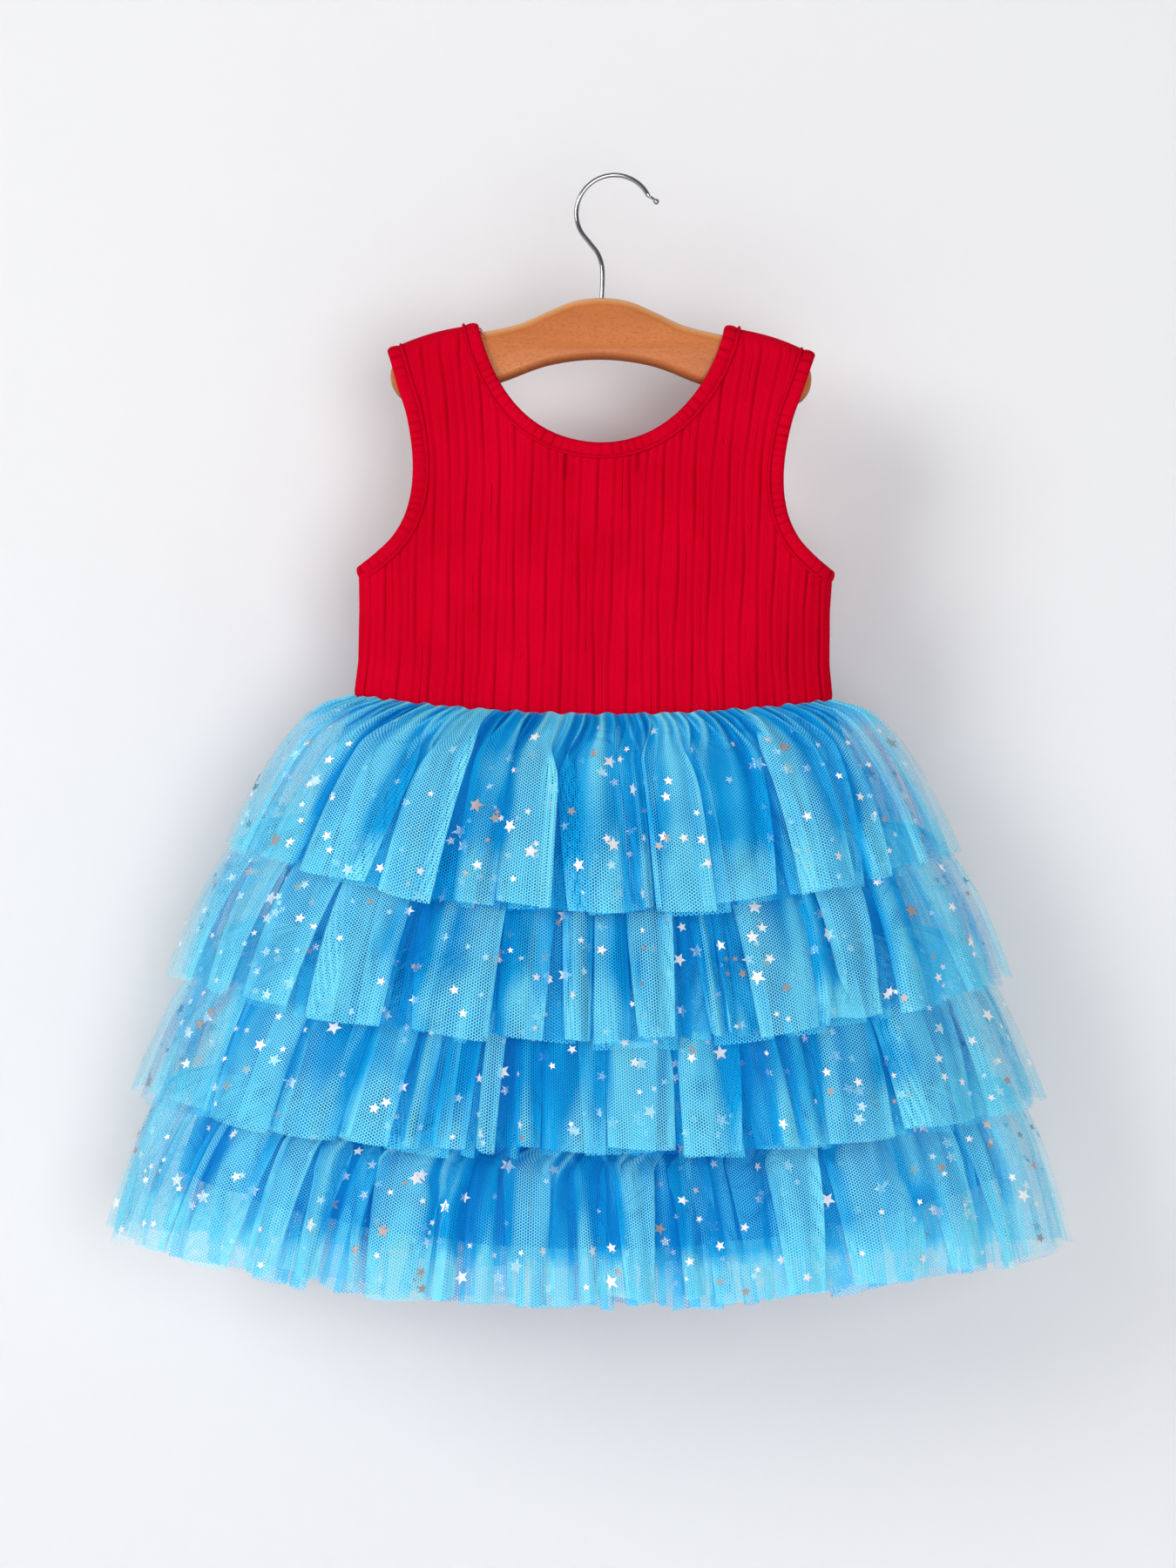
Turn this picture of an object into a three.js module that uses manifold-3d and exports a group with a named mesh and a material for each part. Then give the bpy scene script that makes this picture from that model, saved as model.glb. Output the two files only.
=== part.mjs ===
// A small child's tutu dress on a wooden hanger: a sleeveless rib-knit bodice, and a skirt of
// four gathered tulle tiers sewn one above the other onto a flared lining.
// Millimetres, +Z up. Someone who looks along +Y sees the dress's back, with +X to the right.
// The origin is the point inside the crown of the hook where a rod carries it.

import * as THREE from "three";
import { mergeVertices } from "three/addons/utils/BufferGeometryUtils.js";
import Module from "manifold-3d";

const wasm = await Module();
wasm.setup();

// Driving dimensions. Heights are measured from the origin, widths from the dress's centre line.
const DRESS_X = -7; // the hook's crown stands this far to the side of its stem
const SEAM_GAP = 0.3;

const FOLD_RADIUS = 8.3; // how the cloth turns over the hanger, to the middle of the cloth
const SHOULDER = { neckX: 72, neckZ: -89, tipX: 124.6, tipZ: -104.5, bulge: 3 };
const KNIT = { thickness: 1.5, ribPitch: 9.5, ribHeight: 0.7, grooveHalf: 1.1, ribsEachSide: 16 };
const BODICE_DEPTH = 10; // added to the fold's radius at the chest and the waist
const UNDERARM_Z = -229.2;
const ARMHOLE_SPREAD = 0.35; // how fast the side line widens above the underarm, out of the armhole
const WAIST = { halfWidth: 139.2, sideZ: -306.3, middleZ: -316 };
const BAND = { width: 7, inner: 0.9, outer: 1.7 };
const NECK = { halfWidth: 66.5, lean: 5.5, backDrop: 68, frontDrop: 78 };

// The side seam's half width at each height below the underarm.
const SIDE_SEAM = [
  { z: -229.2, halfWidth: 137.6 },
  { z: -254, halfWidth: 136.6 },
  { z: -285, halfWidth: 136.8 },
  { z: -306.3, halfWidth: 139.2 },
];

// The armhole's edge, from the shoulder tip down to the underarm.
const ARMHOLE = [
  { x: 124.6, z: -104.5 },
  { x: 118.2, z: -125 },
  { x: 112.6, z: -141 },
  { x: 109.3, z: -157 },
  { x: 108, z: -172 },
  { x: 108.7, z: -186.5 },
  { x: 112, z: -200.5 },
  { x: 118.5, z: -212.5 },
  { x: 128, z: -222 },
  { x: 137.6, z: -229.2 },
];

// How far the cloth hangs to the left of the hanger's middle.
const LEAN = [
  { z: -104.5, x: 0 },
  { z: -254, x: -2.4 },
  { z: -450, x: -3.4 },
];

const LINING = {
  tuckIn: 1.5, // inside the bodice's section at the waist
  hemHalfWidth: 240,
  hemDepth: 42,
  hemSideZ: -584,
  hemMiddleZ: -622,
  thickness: 1,
  flutes: 12,
  fluteHeight: 3,
  columns: 64,
  rows: [0, 0.246, 0.466, 0.778, 1],
};
const TULLE = { thickness: 1.1, gathers: 36, seamWave: 0.7, hemWave: 7.5, sideWave: 0.35 };

// sewnAt is the share of the lining's length where the tier is sewn on, and rows are shares of the
// tier's own length. widthPower and depthPower below 1 make it stand out more near its seam.
const TIERS = [
  {
    name: "tulle_tier_1", sewnAt: 0, hemHalfWidth: 213, hemDepth: 55, hemSideZ: -391.5,
    hemMiddleZ: -426, widthPower: 0.52, depthPower: 0.7, rows: [0, 0.1, 0.38, 1], drift: 0,
  },
  {
    name: "tulle_tier_2", sewnAt: 0.246, hemHalfWidth: 244, hemDepth: 68, hemSideZ: -465,
    hemMiddleZ: -501, widthPower: 0.44, depthPower: 0.85, rows: [0, 0.25, 1], drift: 1.3,
  },
  {
    name: "tulle_tier_3", sewnAt: 0.466, hemHalfWidth: 264.5, hemDepth: 80, hemSideZ: -537.5,
    hemMiddleZ: -562, widthPower: 0.52, depthPower: 0.7, rows: [0, 0.25, 1], drift: 2.6,
  },
  {
    name: "tulle_tier_4", sewnAt: 0.778, hemHalfWidth: 280, hemDepth: 88, hemSideZ: -618,
    hemMiddleZ: -646, widthPower: 0.43, depthPower: 0.7, rows: [0, 0.25, 1], drift: 3.9,
  },
];

const WOOD = { thickness: 12, edgeRadius: 5.5, stemHoleRadius: 2, stemHoleDepth: 22 };

// The hanger's outline, right half: along the top from the middle to the tip, then back below.
const WOOD_TOP = [
  { x: 0, z: -70.8 },
  { x: 16, z: -72.8 },
  { x: 31, z: -78.8 },
  { x: 48, z: -86.4 },
  { x: 73.5, z: -92.3 },
  { x: 97, z: -96.8 },
  { x: 116.5, z: -105.2 },
];
const WOOD_TIP = [
  { x: 122.8, z: -113 },
  { x: 122, z: -124.5 },
  { x: 114, z: -132.5 },
];
const WOOD_BELOW = [
  { x: 90, z: -129.5 },
  { x: 60, z: -121.5 },
  { x: 30, z: -110.6 },
  { x: 0, z: -107 },
];
const HOOK = { wireRadius: 1.4, bendRadius: 22.4, stemTopZ: -52.5, neckRadius: 0.8, ballRadius: 1.8 };

const COLOURS = { knit: 0xcd0223, tulle: 0x4fb4ea, lining: 0x0e9ae4, wood: 0xc97a48, steel: 0xc8c8ca };

function material(color, roughness, metalness = 0) {
  return new THREE.MeshStandardMaterial({ color, roughness, metalness });
}
const knitMaterial = material(COLOURS.knit, 0.85);
const tulleMaterial = material(COLOURS.tulle, 0.6);
const liningMaterial = material(COLOURS.lining, 0.5);
const woodMaterial = material(COLOURS.wood, 0.45);
const steelMaterial = material(COLOURS.steel, 0.15, 1);

const lerp = THREE.MathUtils.lerp;
const clamp01 = (value) => THREE.MathUtils.clamp(value, 0, 1);

// Straight-line reading of a table with named columns, ordered by falling z.
function readTable(table, z, column) {
  if (z >= table[0].z) return table[0][column];
  for (let i = 1; i < table.length; i++) {
    const above = table[i - 1];
    const below = table[i];
    if (z >= below.z) return lerp(above[column], below[column], (z - above.z) / (below.z - above.z));
  }
  return table.at(-1)[column];
}

// Closed surfaces

function geometryOf(triangles) {
  const points = triangles.flat().flatMap((p) => [p.x, p.y, p.z]);
  return new THREE.BufferGeometry().setAttribute("position", new THREE.Float32BufferAttribute(points, 3));
}

function quad(list, a, b, c, d) {
  list.push([a, b, c], [a, c, d]);
}

// Triangles between two rows of points that may differ in number.
function zip(list, first, second) {
  let i = 0;
  let j = 0;
  while (i < first.length - 1 || j < second.length - 1) {
    const nextFirst = (i + 1) / (first.length - 1);
    const nextSecond = (j + 1) / (second.length - 1);
    if (j === second.length - 1 || (i < first.length - 1 && nextFirst <= nextSecond)) {
      list.push([first[i], first[i + 1], second[j]]);
      i += 1;
    } else {
      list.push([first[i], second[j + 1], second[j]]);
      j += 1;
    }
  }
}

// A wall that runs all the way round: rows of points from the top down, for its two faces.
function ringWall(outer, inner) {
  const list = [];
  const columns = outer[0].length;
  for (let c = 0; c < columns; c++) {
    const d = (c + 1) % columns;
    for (let r = 0; r < outer.length - 1; r++) {
      quad(list, outer[r][c], outer[r + 1][c], outer[r + 1][d], outer[r][d]);
      quad(list, inner[r][c], inner[r][d], inner[r + 1][d], inner[r + 1][c]);
    }
    const last = outer.length - 1;
    quad(list, outer[0][c], outer[0][d], inner[0][d], inner[0][c]);
    quad(list, outer[last][c], inner[last][c], inner[last][d], outer[last][d]);
  }
  return geometryOf(list);
}

// A tube with a closed centre line: a ring of sections.
function ringTube(sections) {
  const list = [];
  const corners = sections[0].length;
  sections.forEach((section, i) => {
    const next = sections[(i + 1) % sections.length];
    for (let k = 0; k < corners; k++) {
      const m = (k + 1) % corners;
      quad(list, section[k], next[k], next[m], section[m]);
    }
  });
  return geometryOf(list);
}

// A panel: its outer face may have more columns than its plain inner face.
function panelWall(outer, inner) {
  const list = [];
  const rows = outer.length;
  for (let r = 0; r < rows - 1; r++) {
    for (let c = 0; c < outer[0].length - 1; c++)
      quad(list, outer[r][c], outer[r + 1][c], outer[r + 1][c + 1], outer[r][c + 1]);
    for (let c = 0; c < inner[0].length - 1; c++)
      quad(list, inner[r][c], inner[r][c + 1], inner[r + 1][c + 1], inner[r + 1][c]);
    quad(list, outer[r][0], inner[r][0], inner[r + 1][0], outer[r + 1][0]);
    quad(list, outer[r].at(-1), outer[r + 1].at(-1), inner[r + 1].at(-1), inner[r].at(-1));
  }
  zip(list, outer[0], inner[0]);
  const bottom = [];
  zip(bottom, outer[rows - 1], inner[rows - 1]);
  bottom.forEach(([a, b, c]) => list.push([a, c, b]));
  return geometryOf(list);
}

// Turns the faces round where they point into the cloth.
function outwards(geometry) {
  const p = geometry.getAttribute("position");
  const [a, b, c] = [new THREE.Vector3(), new THREE.Vector3(), new THREE.Vector3()];
  let volume = 0;
  for (let i = 0; i < p.count; i += 3) {
    a.fromBufferAttribute(p, i);
    b.fromBufferAttribute(p, i + 1);
    c.fromBufferAttribute(p, i + 2);
    volume += a.dot(b.cross(c));
  }
  for (let i = 0; volume < 0 && i < p.count; i += 3) {
    a.fromBufferAttribute(p, i + 1);
    b.fromBufferAttribute(p, i + 2);
    p.setXYZ(i + 1, b.x, b.y, b.z);
    p.setXYZ(i + 2, a.x, a.y, a.z);
  }
  return geometry;
}

function solidOf(geometry) {
  const bare = geometry.index ? geometry.toNonIndexed() : geometry.clone();
  const positions = new THREE.BufferGeometry().setAttribute("position", bare.getAttribute("position"));
  const merged = mergeVertices(positions, 1e-3);
  return new wasm.Manifold(
    new wasm.Mesh({
      numProp: 3,
      vertProperties: merged.attributes.position.array,
      triVerts: new Uint32Array(merged.index.array),
    }),
  );
}

function geometryFrom(solid) {
  const mesh = solid.getMesh();
  return new THREE.BufferGeometry()
    .setAttribute("position", new THREE.BufferAttribute(mesh.vertProperties, 3))
    .setIndex(new THREE.BufferAttribute(mesh.triVerts, 1));
}

// The skirt's cross section. share is x over the half width. The first term is the cloth folded
// flat over the hanger, and the second is the room that the worn dress keeps inside.
function sectionDepth(share, depth) {
  const s = Math.min(Math.abs(share), 1);
  return FOLD_RADIUS * Math.sqrt(1 - s ** 8) + depth * (1 - s ** 2.6) ** 0.65;
}

// Bodice

const SHOULDER_SLOPE = (SHOULDER.tipZ - SHOULDER.neckZ) / (SHOULDER.tipX - SHOULDER.neckX);

function shoulderZ(x) {
  const along = (Math.abs(x) - SHOULDER.neckX) / (SHOULDER.tipX - SHOULDER.neckX);
  const t = THREE.MathUtils.clamp(along, -0.2, 1.2);
  const bulge = 4 * SHOULDER.bulge * t * (1 - t);
  return SHOULDER.neckZ + SHOULDER_SLOPE * (Math.abs(x) - SHOULDER.neckX) + bulge;
}

function sideHalfWidth(z) {
  return z < UNDERARM_Z
    ? readTable(SIDE_SEAM, z, "halfWidth")
    : SIDE_SEAM[0].halfWidth + ARMHOLE_SPREAD * (z - UNDERARM_Z);
}

// Distance of the cloth's middle from the plane of the side seams, for a point seen from the front.
function bodiceY(x, z) {
  const below = Math.max(shoulderZ(x) - z, 0);
  const turn = Math.min(below / FOLD_RADIUS, 1);
  const fold = Math.sqrt(1 - (1 - turn) ** 2);
  const room = BODICE_DEPTH * clamp01((SHOULDER.tipZ - z) / (SHOULDER.tipZ - UNDERARM_Z)) ** 0.8;
  const share = Math.min(Math.abs(x) / sideHalfWidth(z), 1);
  return FOLD_RADIUS * fold * Math.sqrt(1 - share ** 8) + room * (1 - share ** 2.6) ** 0.65;
}

function bodiceNormal(x, z) {
  const step = 0.05;
  if (Math.abs(x) >= sideHalfWidth(z) - step) return new THREE.Vector3(Math.sign(x), 0, 0);
  if (shoulderZ(x) - z < step) return new THREE.Vector3(0, 0, 1);
  const slopeX = (bodiceY(x + step, z) - bodiceY(x - step, z)) / (2 * step);
  const slopeZ = (bodiceY(x, z + step) - bodiceY(x, z - step)) / (2 * step);
  return new THREE.Vector3(-slopeX, 1, -slopeZ).normalize();
}

// Walks along a level section until the cloth's own length is reached, so ribs keep their pitch.
function xAtLength(length, z) {
  const step = 0.25;
  const limit = sideHalfWidth(z);
  let x = 0;
  let walked = 0;
  while (walked < length && x < limit) {
    const next = Math.min(x + step, limit);
    walked += Math.hypot(next - x, bodiceY(next, z) - bodiceY(x, z));
    x = next;
  }
  return { x, walked };
}

const halfGirth = (z) => xAtLength(Infinity, z).walked;
const REFERENCE_GIRTH = halfGirth(UNDERARM_Z);

// The straps lean outwards with the armhole, and the ribs in them.
function strapLean(z) {
  const start = -176;
  return 0.1 * clamp01((z - start) / (SHOULDER.tipZ - start)) ** 1.5;
}

// Ribs: flat bands with a narrow groove between them.
function ribColumns() {
  const columns = [];
  const { ribPitch, grooveHalf, ribHeight, ribsEachSide } = KNIT;
  for (let rib = -ribsEachSide; rib <= ribsEachSide; rib++) {
    const groove = rib * ribPitch;
    columns.push({ length: groove - grooveHalf, height: ribHeight });
    columns.push({ length: groove, height: 0 });
    columns.push({ length: groove + grooveHalf, height: ribHeight });
  }
  const inside = columns.filter((c) => Math.abs(c.length) < REFERENCE_GIRTH - grooveHalf);
  const edge = { height: ribHeight };
  return [{ ...edge, length: -REFERENCE_GIRTH }, ...inside, { ...edge, length: REFERENCE_GIRTH }];
}

function plainColumns() {
  const count = 24;
  return Array.from({ length: count + 1 }, (_, i) => ({
    length: lerp(-REFERENCE_GIRTH, REFERENCE_GIRTH, i / count),
    height: 0,
  }));
}

// One point of a bodice face. side is -1 for the back and +1 for the front of the dress.
function bodicePoint(column, row, side, offset) {
  const level = row.below === undefined ? row.z : SHOULDER.tipZ - row.below;
  const girth = level < UNDERARM_Z ? halfGirth(level) / REFERENCE_GIRTH : 1;
  const length = Math.min(Math.abs(column.length), REFERENCE_GIRTH) * girth;
  const atEdge = Math.abs(column.length) >= REFERENCE_GIRTH;
  const found = atEdge && level < UNDERARM_Z ? sideHalfWidth(level) : xAtLength(length, level).x;
  const x = Math.sign(column.length) * found * (1 + strapLean(level));
  const z = row.below === undefined ? row.z : shoulderZ(x) - row.below;
  const n = bodiceNormal(x, z);
  const y = Math.max(bodiceY(x, z), SEAM_GAP / 2);
  const out = offset + column.height;
  const outY = Math.max(y + n.y * out, SEAM_GAP / 2);
  return new THREE.Vector3(x + n.x * out, side * outY, z + n.z * out);
}

const BODICE_ROWS = [
  ...[0, 30, 60, 90].map((degrees) => ({
    below: FOLD_RADIUS * (1 - Math.cos(THREE.MathUtils.degToRad(degrees))),
  })),
  { z: -158 }, { z: UNDERARM_Z }, { z: -266 }, { z: -322 },
];

function waistZ(x) {
  const share = Math.min(Math.abs(x) / WAIST.halfWidth, 1);
  return lerp(WAIST.middleZ, WAIST.sideZ, share ** 2);
}

// Edge curves seen from the front, for x above 0. inset moves them onto the panel.

function neckEdge(drop, inset) {
  const turns = [0, 0.35, 1.35, 2.9, 4.9, 7.1, 12, 18, 25, 32, 39, 46, 53, 60, 67, 74, 82, 90];
  return turns.map((degrees) => {
    const a = THREE.MathUtils.degToRad(degrees);
    const lean = NECK.lean * (1 - Math.sin(a)) ** 3;
    return new THREE.Vector2(
      (NECK.halfWidth + inset) * Math.cos(a) + lean,
      SHOULDER.neckZ - (drop + inset) * Math.sin(a),
    );
  });
}

function armholeEdge(inset) {
  const overShoulder = [0, 0.0029, 0.0113, 0.0245, 0.041, 0.059];
  const down = [0.11, 0.18, 0.26, 0.34, 0.42, 0.5, 0.57, 0.63, 0.69, 0.75, 0.81, 0.87];
  const toSideSeam = [0.92, 0.955, 0.98, 0.993, 1];
  const curve = new THREE.SplineCurve(ARMHOLE.map((p) => new THREE.Vector2(p.x, p.z)));
  return [...overShoulder, ...down, ...toSideSeam].map((t) => {
    const along = curve.getTangentAt(t);
    const p = curve.getPointAt(t);
    return new THREE.Vector2(p.x + along.y * inset, p.y - along.x * inset);
  });
}

// The folded knit band along an edge, as a ring. sides lists the edge from seam to seam on the
// dress's back, then on its front. towardsPanel is 1 or -1, and outline is the band's section.
function bandRing(sides, towardsPanel, outline) {
  const place = (p, side) => {
    const n = bodiceNormal(p.x, p.y);
    return {
      at: new THREE.Vector3(p.x, side * bodiceY(p.x, p.y), p.y),
      normal: new THREE.Vector3(n.x, side * n.y, n.z),
    };
  };
  const [back, front] = sides;
  const stations = [
    ...back.map((p) => place(p, -1)),
    ...front.slice(1, -1).reverse().map((p) => place(p, 1)),
  ];
  const sections = stations.map((station, i) => {
    const before = stations.at(i - 1).at;
    const after = stations[(i + 1) % stations.length].at;
    const along = after.clone().sub(before).normalize();
    const across = along.clone().cross(station.normal).normalize().multiplyScalar(towardsPanel);
    return outline.map((corner) =>
      station.at
        .clone()
        .addScaledVector(across, corner.across)
        .addScaledVector(station.normal, corner.out),
    );
  });
  return outwards(ringTube(sections));
}

const BAND_SECTION = [
  { across: 0, out: -0.4 },
  { across: 0, out: 1.1 },
  { across: 0.6, out: BAND.outer },
  { across: BAND.width - 0.3, out: BAND.outer },
  { across: BAND.width, out: 1.3 },
  { across: BAND.width, out: -BAND.inner },
  { across: 0.6, out: -BAND.inner },
];

// What a band and its seam gap take from the cloth. The gap is wider than SEAM_GAP because its
// flat faces turn a little against the band's.
const SEAM_ACROSS = BAND.width + 1.4 * SEAM_GAP;
const SEAM_SECTION = [
  { across: 2, out: -2.4 },
  { across: 2, out: 2.8 },
  { across: SEAM_ACROSS, out: 2.8 },
  { across: SEAM_ACROSS, out: 0.3 },
  { across: SEAM_ACROSS, out: -2.4 },
];

function neckRing(outline) {
  const loop = (drop) => {
    const right = neckEdge(drop, 0);
    const left = right.slice(0, -1).map((p) => new THREE.Vector2(-p.x, p.y));
    return [...left, ...right.reverse()];
  };
  return bandRing([loop(NECK.backDrop), loop(NECK.frontDrop)], 1, outline);
}

function armholeRing(side, outline) {
  const edge = armholeEdge(0).map((p) => new THREE.Vector2(side * p.x, p.y));
  return bandRing([edge, edge], side, outline);
}

// The outline that a panel is cut to, as a prism through the cloth. Its neck and armholes are
// only rough: the bands' seams are cut after it.
function panelCutter(neckDrop) {
  const past = 60; // past the cloth on every open side
  const inset = 4.5;
  const neck = neckEdge(neckDrop, inset).filter((p) => p.x > 1e-6);
  const arm = armholeEdge(inset);
  const waistSteps = 8;
  const waist = Array.from({ length: waistSteps + 1 }, (_, i) => {
    const x = (i / waistSteps) * WAIST.halfWidth;
    return new THREE.Vector2(x, waistZ(x) + SEAM_GAP);
  });
  const right = [
    ...waist,
    new THREE.Vector2(WAIST.halfWidth + past, WAIST.sideZ + SEAM_GAP),
    new THREE.Vector2(WAIST.halfWidth + past, arm.at(-1).y),
    ...arm.reverse(),
    new THREE.Vector2(arm.at(-1).x + 4, SHOULDER.tipZ + past),
    new THREE.Vector2(neck[0].x, SHOULDER.neckZ + past),
    ...neck,
    new THREE.Vector2(0, SHOULDER.neckZ - neckDrop - inset),
  ];
  const left = right.filter((p) => p.x > 1e-6).map((p) => new THREE.Vector2(-p.x, p.y));
  const shape = new THREE.Shape([...right, ...left.reverse()]);
  return new THREE.ExtrudeGeometry(shape, { depth: 2 * past, bevelEnabled: false })
    .translate(0, 0, -past)
    .rotateX(Math.PI / 2);
}

const SEAMS = [neckRing(SEAM_SECTION), armholeRing(-1, SEAM_SECTION), armholeRing(1, SEAM_SECTION)];

function bodicePanel(name, side, neckDrop) {
  const half = KNIT.thickness / 2;
  const face = (columns, offset) =>
    BODICE_ROWS.map((row) => columns.map((column) => bodicePoint(column, row, side, offset)));
  const wall = solidOf(outwards(panelWall(face(ribColumns(), half), face(plainColumns(), -half))));
  const rough = wall.intersect(solidOf(panelCutter(neckDrop)));
  const cut = SEAMS.reduce((cloth, seam) => cloth.subtract(solidOf(seam)), rough);
  const largestFirst = cut.decompose().sort((a, b) => b.volume() - a.volume());
  return named(geometryFrom(largestFirst[0]), knitMaterial, name);
}

// Skirt

// Even steps of cloth round a middle-sized section, as angles from +X.
function evenAngles(count, warp) {
  const width = 210;
  const depth = 55;
  const fine = 2000;
  const lengths = [0];
  const at = (i) => {
    const a = (2 * Math.PI * i) / fine;
    return { x: width * Math.cos(a), y: Math.sign(Math.sin(a)) * sectionDepth(Math.cos(a), depth) };
  };
  for (let i = 1; i <= fine; i++) {
    const p = at(i - 1);
    const q = at(i);
    lengths.push(lengths[i - 1] + Math.hypot(q.x - p.x, q.y - p.y));
  }
  return Array.from({ length: count }, (_, c) => {
    const target = (((c / count + warp(c / count)) % 1) + 1) % 1;
    const length = target * lengths[fine];
    const i = lengths.findIndex((l) => l >= length);
    if (i <= 0) return 0;
    const share = (length - lengths[i - 1]) / (lengths[i] - lengths[i - 1]);
    return (2 * Math.PI * (i - 1 + share)) / fine;
  });
}

// Height where the side's and the middle's differ.
function hangingZ(angle, sideZ, middleZ) {
  return lerp(sideZ, middleZ, Math.sin(angle) ** 2);
}

function liningRow(share) {
  return {
    halfWidth: lerp(WAIST.halfWidth - LINING.tuckIn, LINING.hemHalfWidth, share ** 0.9),
    depth: lerp(BODICE_DEPTH - LINING.tuckIn, LINING.hemDepth, share),
    sideZ: lerp(WAIST.sideZ, LINING.hemSideZ, share),
    middleZ: lerp(WAIST.middleZ, LINING.hemMiddleZ, share),
  };
}

// A ring of cloth at one height, moved out from its section by wave(column).
function clothRing(row, angles, wave) {
  return angles.map((angle, c) => {
    const step = 0.01;
    const at = (a) =>
      new THREE.Vector2(
        row.halfWidth * Math.cos(a),
        Math.sign(Math.sin(a)) * sectionDepth(Math.cos(a), row.depth),
      );
    const along = at(angle + step).sub(at(angle - step)).normalize();
    const p = at(angle);
    const out = wave(c, angle);
    return new THREE.Vector3(
      p.x + along.y * out,
      p.y - along.x * out,
      hangingZ(angle, row.sideZ, row.middleZ),
    );
  });
}

// Moves each point of a middle surface half the wall's thickness out and in.
function thicken(rows, thickness) {
  const columns = rows[0].length;
  const moved = (sign) =>
    rows.map((row, r) =>
      row.map((p, c) => {
        const along = row[(c + 1) % columns].clone().sub(row.at(c - 1));
        const down = rows[Math.min(r + 1, rows.length - 1)][c].clone().sub(rows[Math.max(r - 1, 0)][c]);
        const normal = down.cross(along).normalize();
        return p.clone().addScaledVector(normal, (sign * thickness) / 2);
      }),
    );
  return ringWall(moved(1), moved(-1));
}

function lining() {
  const angles = evenAngles(LINING.columns, () => 0);
  const plainShare = LINING.rows.at(-2);
  const rows = LINING.rows.map((share) => {
    const row = liningRow(share);
    if (share === 0) {
      row.sideZ -= 1.5 * SEAM_GAP;
      row.middleZ -= 1.5 * SEAM_GAP;
    }
    const height = LINING.fluteHeight * clamp01((share - plainShare) / (1 - plainShare));
    return clothRing(row, angles, (c, angle) => height * Math.sin(LINING.flutes * angle));
  });
  return named(outwards(thicken(rows, LINING.thickness)), liningMaterial, "skirt_lining");
}

function tier(spec) {
  const count = TULLE.gathers * 4;
  const warp = (t) =>
    (0.3 * Math.sin(2 * Math.PI * 5 * t + spec.drift) +
      0.2 * Math.sin(2 * Math.PI * 11 * t + 2 * spec.drift)) /
    TULLE.gathers;
  const angles = evenAngles(count, warp);
  const top = liningRow(spec.sewnAt);
  const clearance = (LINING.thickness + TULLE.thickness) / 2 + TULLE.seamWave + 2 * SEAM_GAP;
  const seamDrop = spec.sewnAt === 0 ? 2 * SEAM_GAP : 0;
  const rows = spec.rows.map((share) => {
    const row = {
      halfWidth: lerp(top.halfWidth, spec.hemHalfWidth, share ** spec.widthPower),
      depth: lerp(top.depth, spec.hemDepth, share ** spec.depthPower),
      sideZ: lerp(top.sideZ - seamDrop, spec.hemSideZ, share),
      middleZ: lerp(top.middleZ - seamDrop, spec.hemMiddleZ, share),
    };
    const height = lerp(TULLE.seamWave, TULLE.hemWave, share ** 0.7);
    return clothRing(row, angles, (c, angle) => {
      const crest = c % 4 < 2 ? 1 : -1;
      const uneven = 1 - 0.25 * Math.abs(Math.sin(1.7 * Math.floor(c / 4) + spec.drift));
      const side = lerp(1, TULLE.sideWave, Math.abs(Math.cos(angle)) ** 6);
      return clearance * (1 - share) + crest * height * (share > 0 ? uneven * side : 1);
    });
  });
  return named(outwards(thicken(rows, TULLE.thickness)), tulleMaterial, spec.name);
}

// Hanger

function hangerWood() {
  const right = [...WOOD_TOP, ...WOOD_TIP, ...WOOD_BELOW].map((p) => new THREE.Vector2(p.x, p.z));
  const left = right.slice(1, -1).map((p) => new THREE.Vector2(-p.x, p.y));
  const corners = [...right, ...left.reverse()];
  const smooth = new THREE.CatmullRomCurve3(
    corners.map((p) => new THREE.Vector3(p.x, p.y, 0)), true, "centripetal",
  );
  const outline = smooth.getSpacedPoints(52).slice(0, -1).map((p) => new THREE.Vector2(p.x, p.y));
  const { edgeRadius, thickness } = WOOD;
  const board = new THREE.ExtrudeGeometry(new THREE.Shape(outline), {
    depth: thickness - 2 * edgeRadius,
    bevelThickness: edgeRadius,
    bevelSize: edgeRadius,
    bevelOffset: -edgeRadius,
    bevelSegments: 2,
  })
    .translate(0, 0, edgeRadius - thickness / 2)
    .rotateX(Math.PI / 2);
  const hole = new THREE.CylinderGeometry(
    WOOD.stemHoleRadius, WOOD.stemHoleRadius, WOOD.stemHoleDepth, 10,
  )
    .rotateX(Math.PI / 2)
    .translate(0, 0, WOOD_TOP[0].z - WOOD.stemHoleDepth / 2 + 1);
  const solid = solidOf(board).subtract(solidOf(hole));
  return named(geometryFrom(solid), woodMaterial, "hanger_wood");
}

// Round wire along a centre line, which may not cross itself.
function wire(points, radius, steps) {
  return new THREE.ExtrudeGeometry(new THREE.Shape().absarc(0, 0, radius, 0, 2 * Math.PI), {
    steps,
    curveSegments: 4,
    extrudePath: new THREE.CatmullRomCurve3(points, false, "centripetal"),
    bevelEnabled: false,
  });
}

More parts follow.
